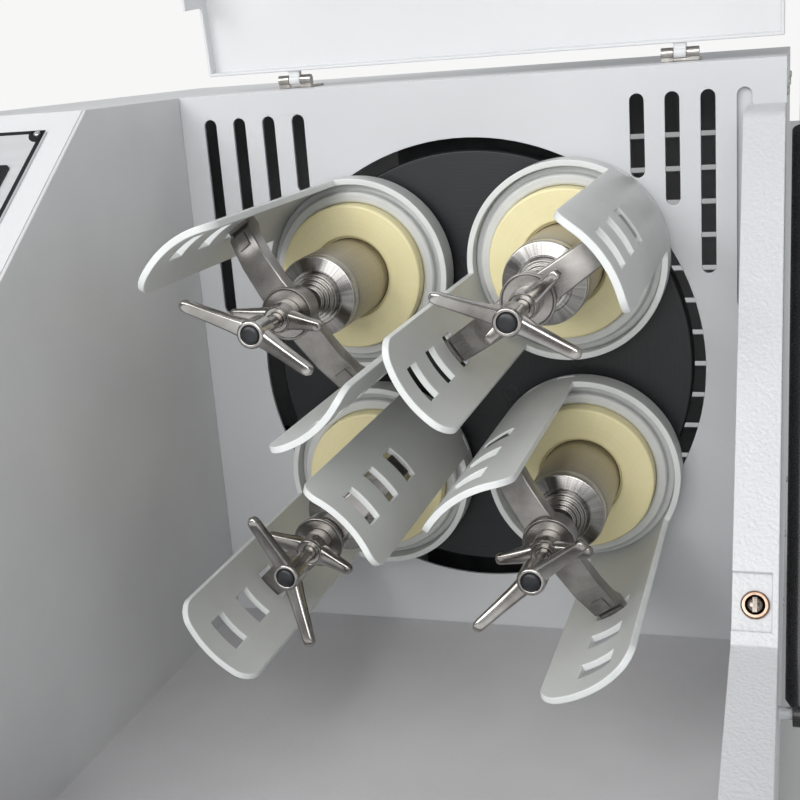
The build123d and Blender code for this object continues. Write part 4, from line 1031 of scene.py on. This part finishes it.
polished = finish("polished_stainless", (0.26, 0.245, 0.23), (0.54, 0.525, 0.505), 0.20, metallic=1.0,
                  blotch=38, grain=1300, relief=0.00003, strength=0.3, spread=0.08)
cap_black = finish("cap_black", (0.010, 0.011, 0.014), (0.020, 0.022, 0.026), 0.34, blotch=120,
                   grain=1500)
handle_angles = [157.6, 152.3, 110.4, 40.7]
limb = forged_arm("handle_arm", [
    (3, 6.4, 5.2), (9, 6.2, 5.1), (12, 5.8, 4.9), (16, 5.4, 4.6), (30, 4.7, 4.1), (42, 4.3, 3.7),
    (47.6, 4.2, 3.6), (50.7, 3.8, 3.3), (52.4, 3.0, 2.7), (53.4, 2.0, 1.8), (53.9, 0.9, 0.8),
], 233.0, 18)
limb.data.materials.append(polished)
shank = turned("handle_hub", [
    (1, 124), (4.9, 124), (5.5, 124.8), (5.5, 221), (6.2, 222), (9.3, 222), (10.0, 222.8), (10.0, 239.8),
    (9.7, 241), (9.0, 241.8), (8.2, 242), (7.1, 241.9), (6.7, 241.4), (6.6, 240.2), (1, 240.2),
], 72)
shank.data.materials.append(polished)
ease(shank, 0.0003, 2, angle=40)
cap = turned("handle_cap", [
    (6.5, 240.1), (6.5, 241.2), (6.2, 242), (5.4, 242.6), (3.6, 243), (1.6, 243.2), (0.3, 243.2),
], 56)
cap.data.materials.append(cap_black)
ease(cap, 0, 1, smooth=60)
handle = both_ways(limb, cap, shank)
handle.name = "tee_handle"
set_all(handle, handle_angles, "screw")


# Lock nuts. A threaded collar of stainless steel with a rounded ring, run down on the boss by two short
# cast arms.
nut_angles = [42.5, 171.6, 159.0, 8.0]
limb = forged_arm("nut_arm", [
    (3, 6.8, 5.2), (9, 6.6, 5.1), (12, 6.2, 4.9), (17, 5.4, 4.4), (24, 4.6, 3.9), (30, 4.0, 3.4),
    (32.8, 3.7, 3.2), (34.5, 3.1, 2.6), (35.5, 2.0, 1.8), (35.9, 0.9, 0.8),
], 188.0, 13)
limb.data.materials.append(polished)
collar = turned("nut_collar", [
    (5.58, 175.2), (10.4, 175.2), (11.0, 175.9), (11.0, 184.6), (10.8, 187.0), (10.2, 189.0),
    (9.6, 190.4), (9.5, 192.0), (9.8, 192.8), (10.0, 193.8), (10.0, 194.9), (9.7, 195.7), (9.2, 196),
    (8.7, 195.8), (8.4, 195.3), (6.6, 195.2), (6.4, 195.4), (5.9, 195.4), (5.58, 195.0), (5.58, 175.2),
], 72, closed=True)
collar.data.materials.append(polished)
ease(collar, 0.0002, 1, angle=60)
nut = both_ways(limb, collar)
nut.name = "lock_nut"
set_all(nut, nut_angles, "nut")


# Lid. A folded hood of sheet that hinges at the rear of the chamber, standing open, with a chromed
# grab handle on its chin.
lid = from_solid("lid", "folded_lid", console_coat, chrome)
hinge = Vector((0, 0.094, 0.558))
shut = Matrix.Rotation(math.radians(85), 4, "X")
closing = Matrix.Translation(hinge) @ shut @ Matrix.Translation(-hinge)
# Only the handle stands in front of the shut lid's chin, and only the strut's stud beside its right side
chin_front, right_side = -0.4005, 0.3136
for face in lid.data.polygons:
    at = closing @ face.center
    if at.y < chin_front or at.x > right_side:
        face.material_index = 1
ease(lid, 0.0009, 3)
fit(lid, "lid")


# Lid fittings. Two steel hinges at the rear of the chamber, and the coppery ring of the lock, pressed
# into the post's slope.
fitting_steel = finish("fitting_steel", (0.34, 0.32, 0.30), (0.56, 0.54, 0.51), 0.22, metallic=1.0,
                       blotch=140, grain=1300)
brass = finish("ring_brass", (0.30, 0.19, 0.13), (0.50, 0.37, 0.29), 0.24, metallic=1.0, blotch=160,
               grain=1300)
fittings = from_solid("lid_fittings", "hinges_and_lock_ring", fitting_steel, brass)
# The ring is far in front of both hinges
hinges_front = -0.1
for face in fittings.data.polygons:
    if face.center.y < hinges_front:
        face.material_index = 1
ease(fittings, 0.0003, 2)
fit(fittings, "lid_fittings")


# Lock plunger. A rounded steel head with an upright rib across it, with a dark gap between it and the
# ring that guides it.
plunger_steel = finish("plunger_steel", (0.14, 0.12, 0.105), (0.34, 0.30, 0.27), 0.24, metallic=1.0,
                       blotch=160, grain=1300)
head = turned("plunger_head", [
    (1, -6.5), (4.9, -6.5), (5.1, -6.2), (5.1, 0.6), (4.7, 1.6), (3.8, 2.4), (2.4, 2.9), (0.3, 3.1),
], 48)
bpy.ops.object.select_all(action="DESELECT")
bpy.ops.mesh.primitive_cube_add(location=(0, -0.0012, 0))
rib = bpy.context.object
rib.scale = (0.0016, 0.0020, 0.0048)
bpy.ops.object.transform_apply()
ease(rib, 0.0005, 2)
take(rib, head)
bpy.ops.object.join()
plunger = bpy.context.object
plunger.name = "ribbed_plunger"
plunger.data.materials.append(plunger_steel)
ease(plunger, 0, 1, smooth=50)
lock_place = (0.302, -0.23408, 0.23382)
into_post = Matrix.Rotation(math.radians(-32.49), 4, "X")
plunger.data.transform(Matrix.Translation(lock_place) @ into_post)
fit(plunger, "lock_plunger")


# Gas strut. A black painted cylinder pinned to the post, and its chromed rod, which reaches the lid and
# holds it open.
strut_black = finish("strut_black", (0.010, 0.010, 0.011), (0.018, 0.018, 0.020), 0.28, blotch=30,
                     grain=900, relief=0.00002)
cylinder = from_solid("strut_cylinder", "strut_cylinder_tube", strut_black)
ease(cylinder, 0.0006, 2)
fit(cylinder, "strut_cylinder")
rod = from_solid("strut_rod", "strut_rod_bar", chrome)
ease(rod, 0.0004, 2)
fit(rod, "strut_rod")
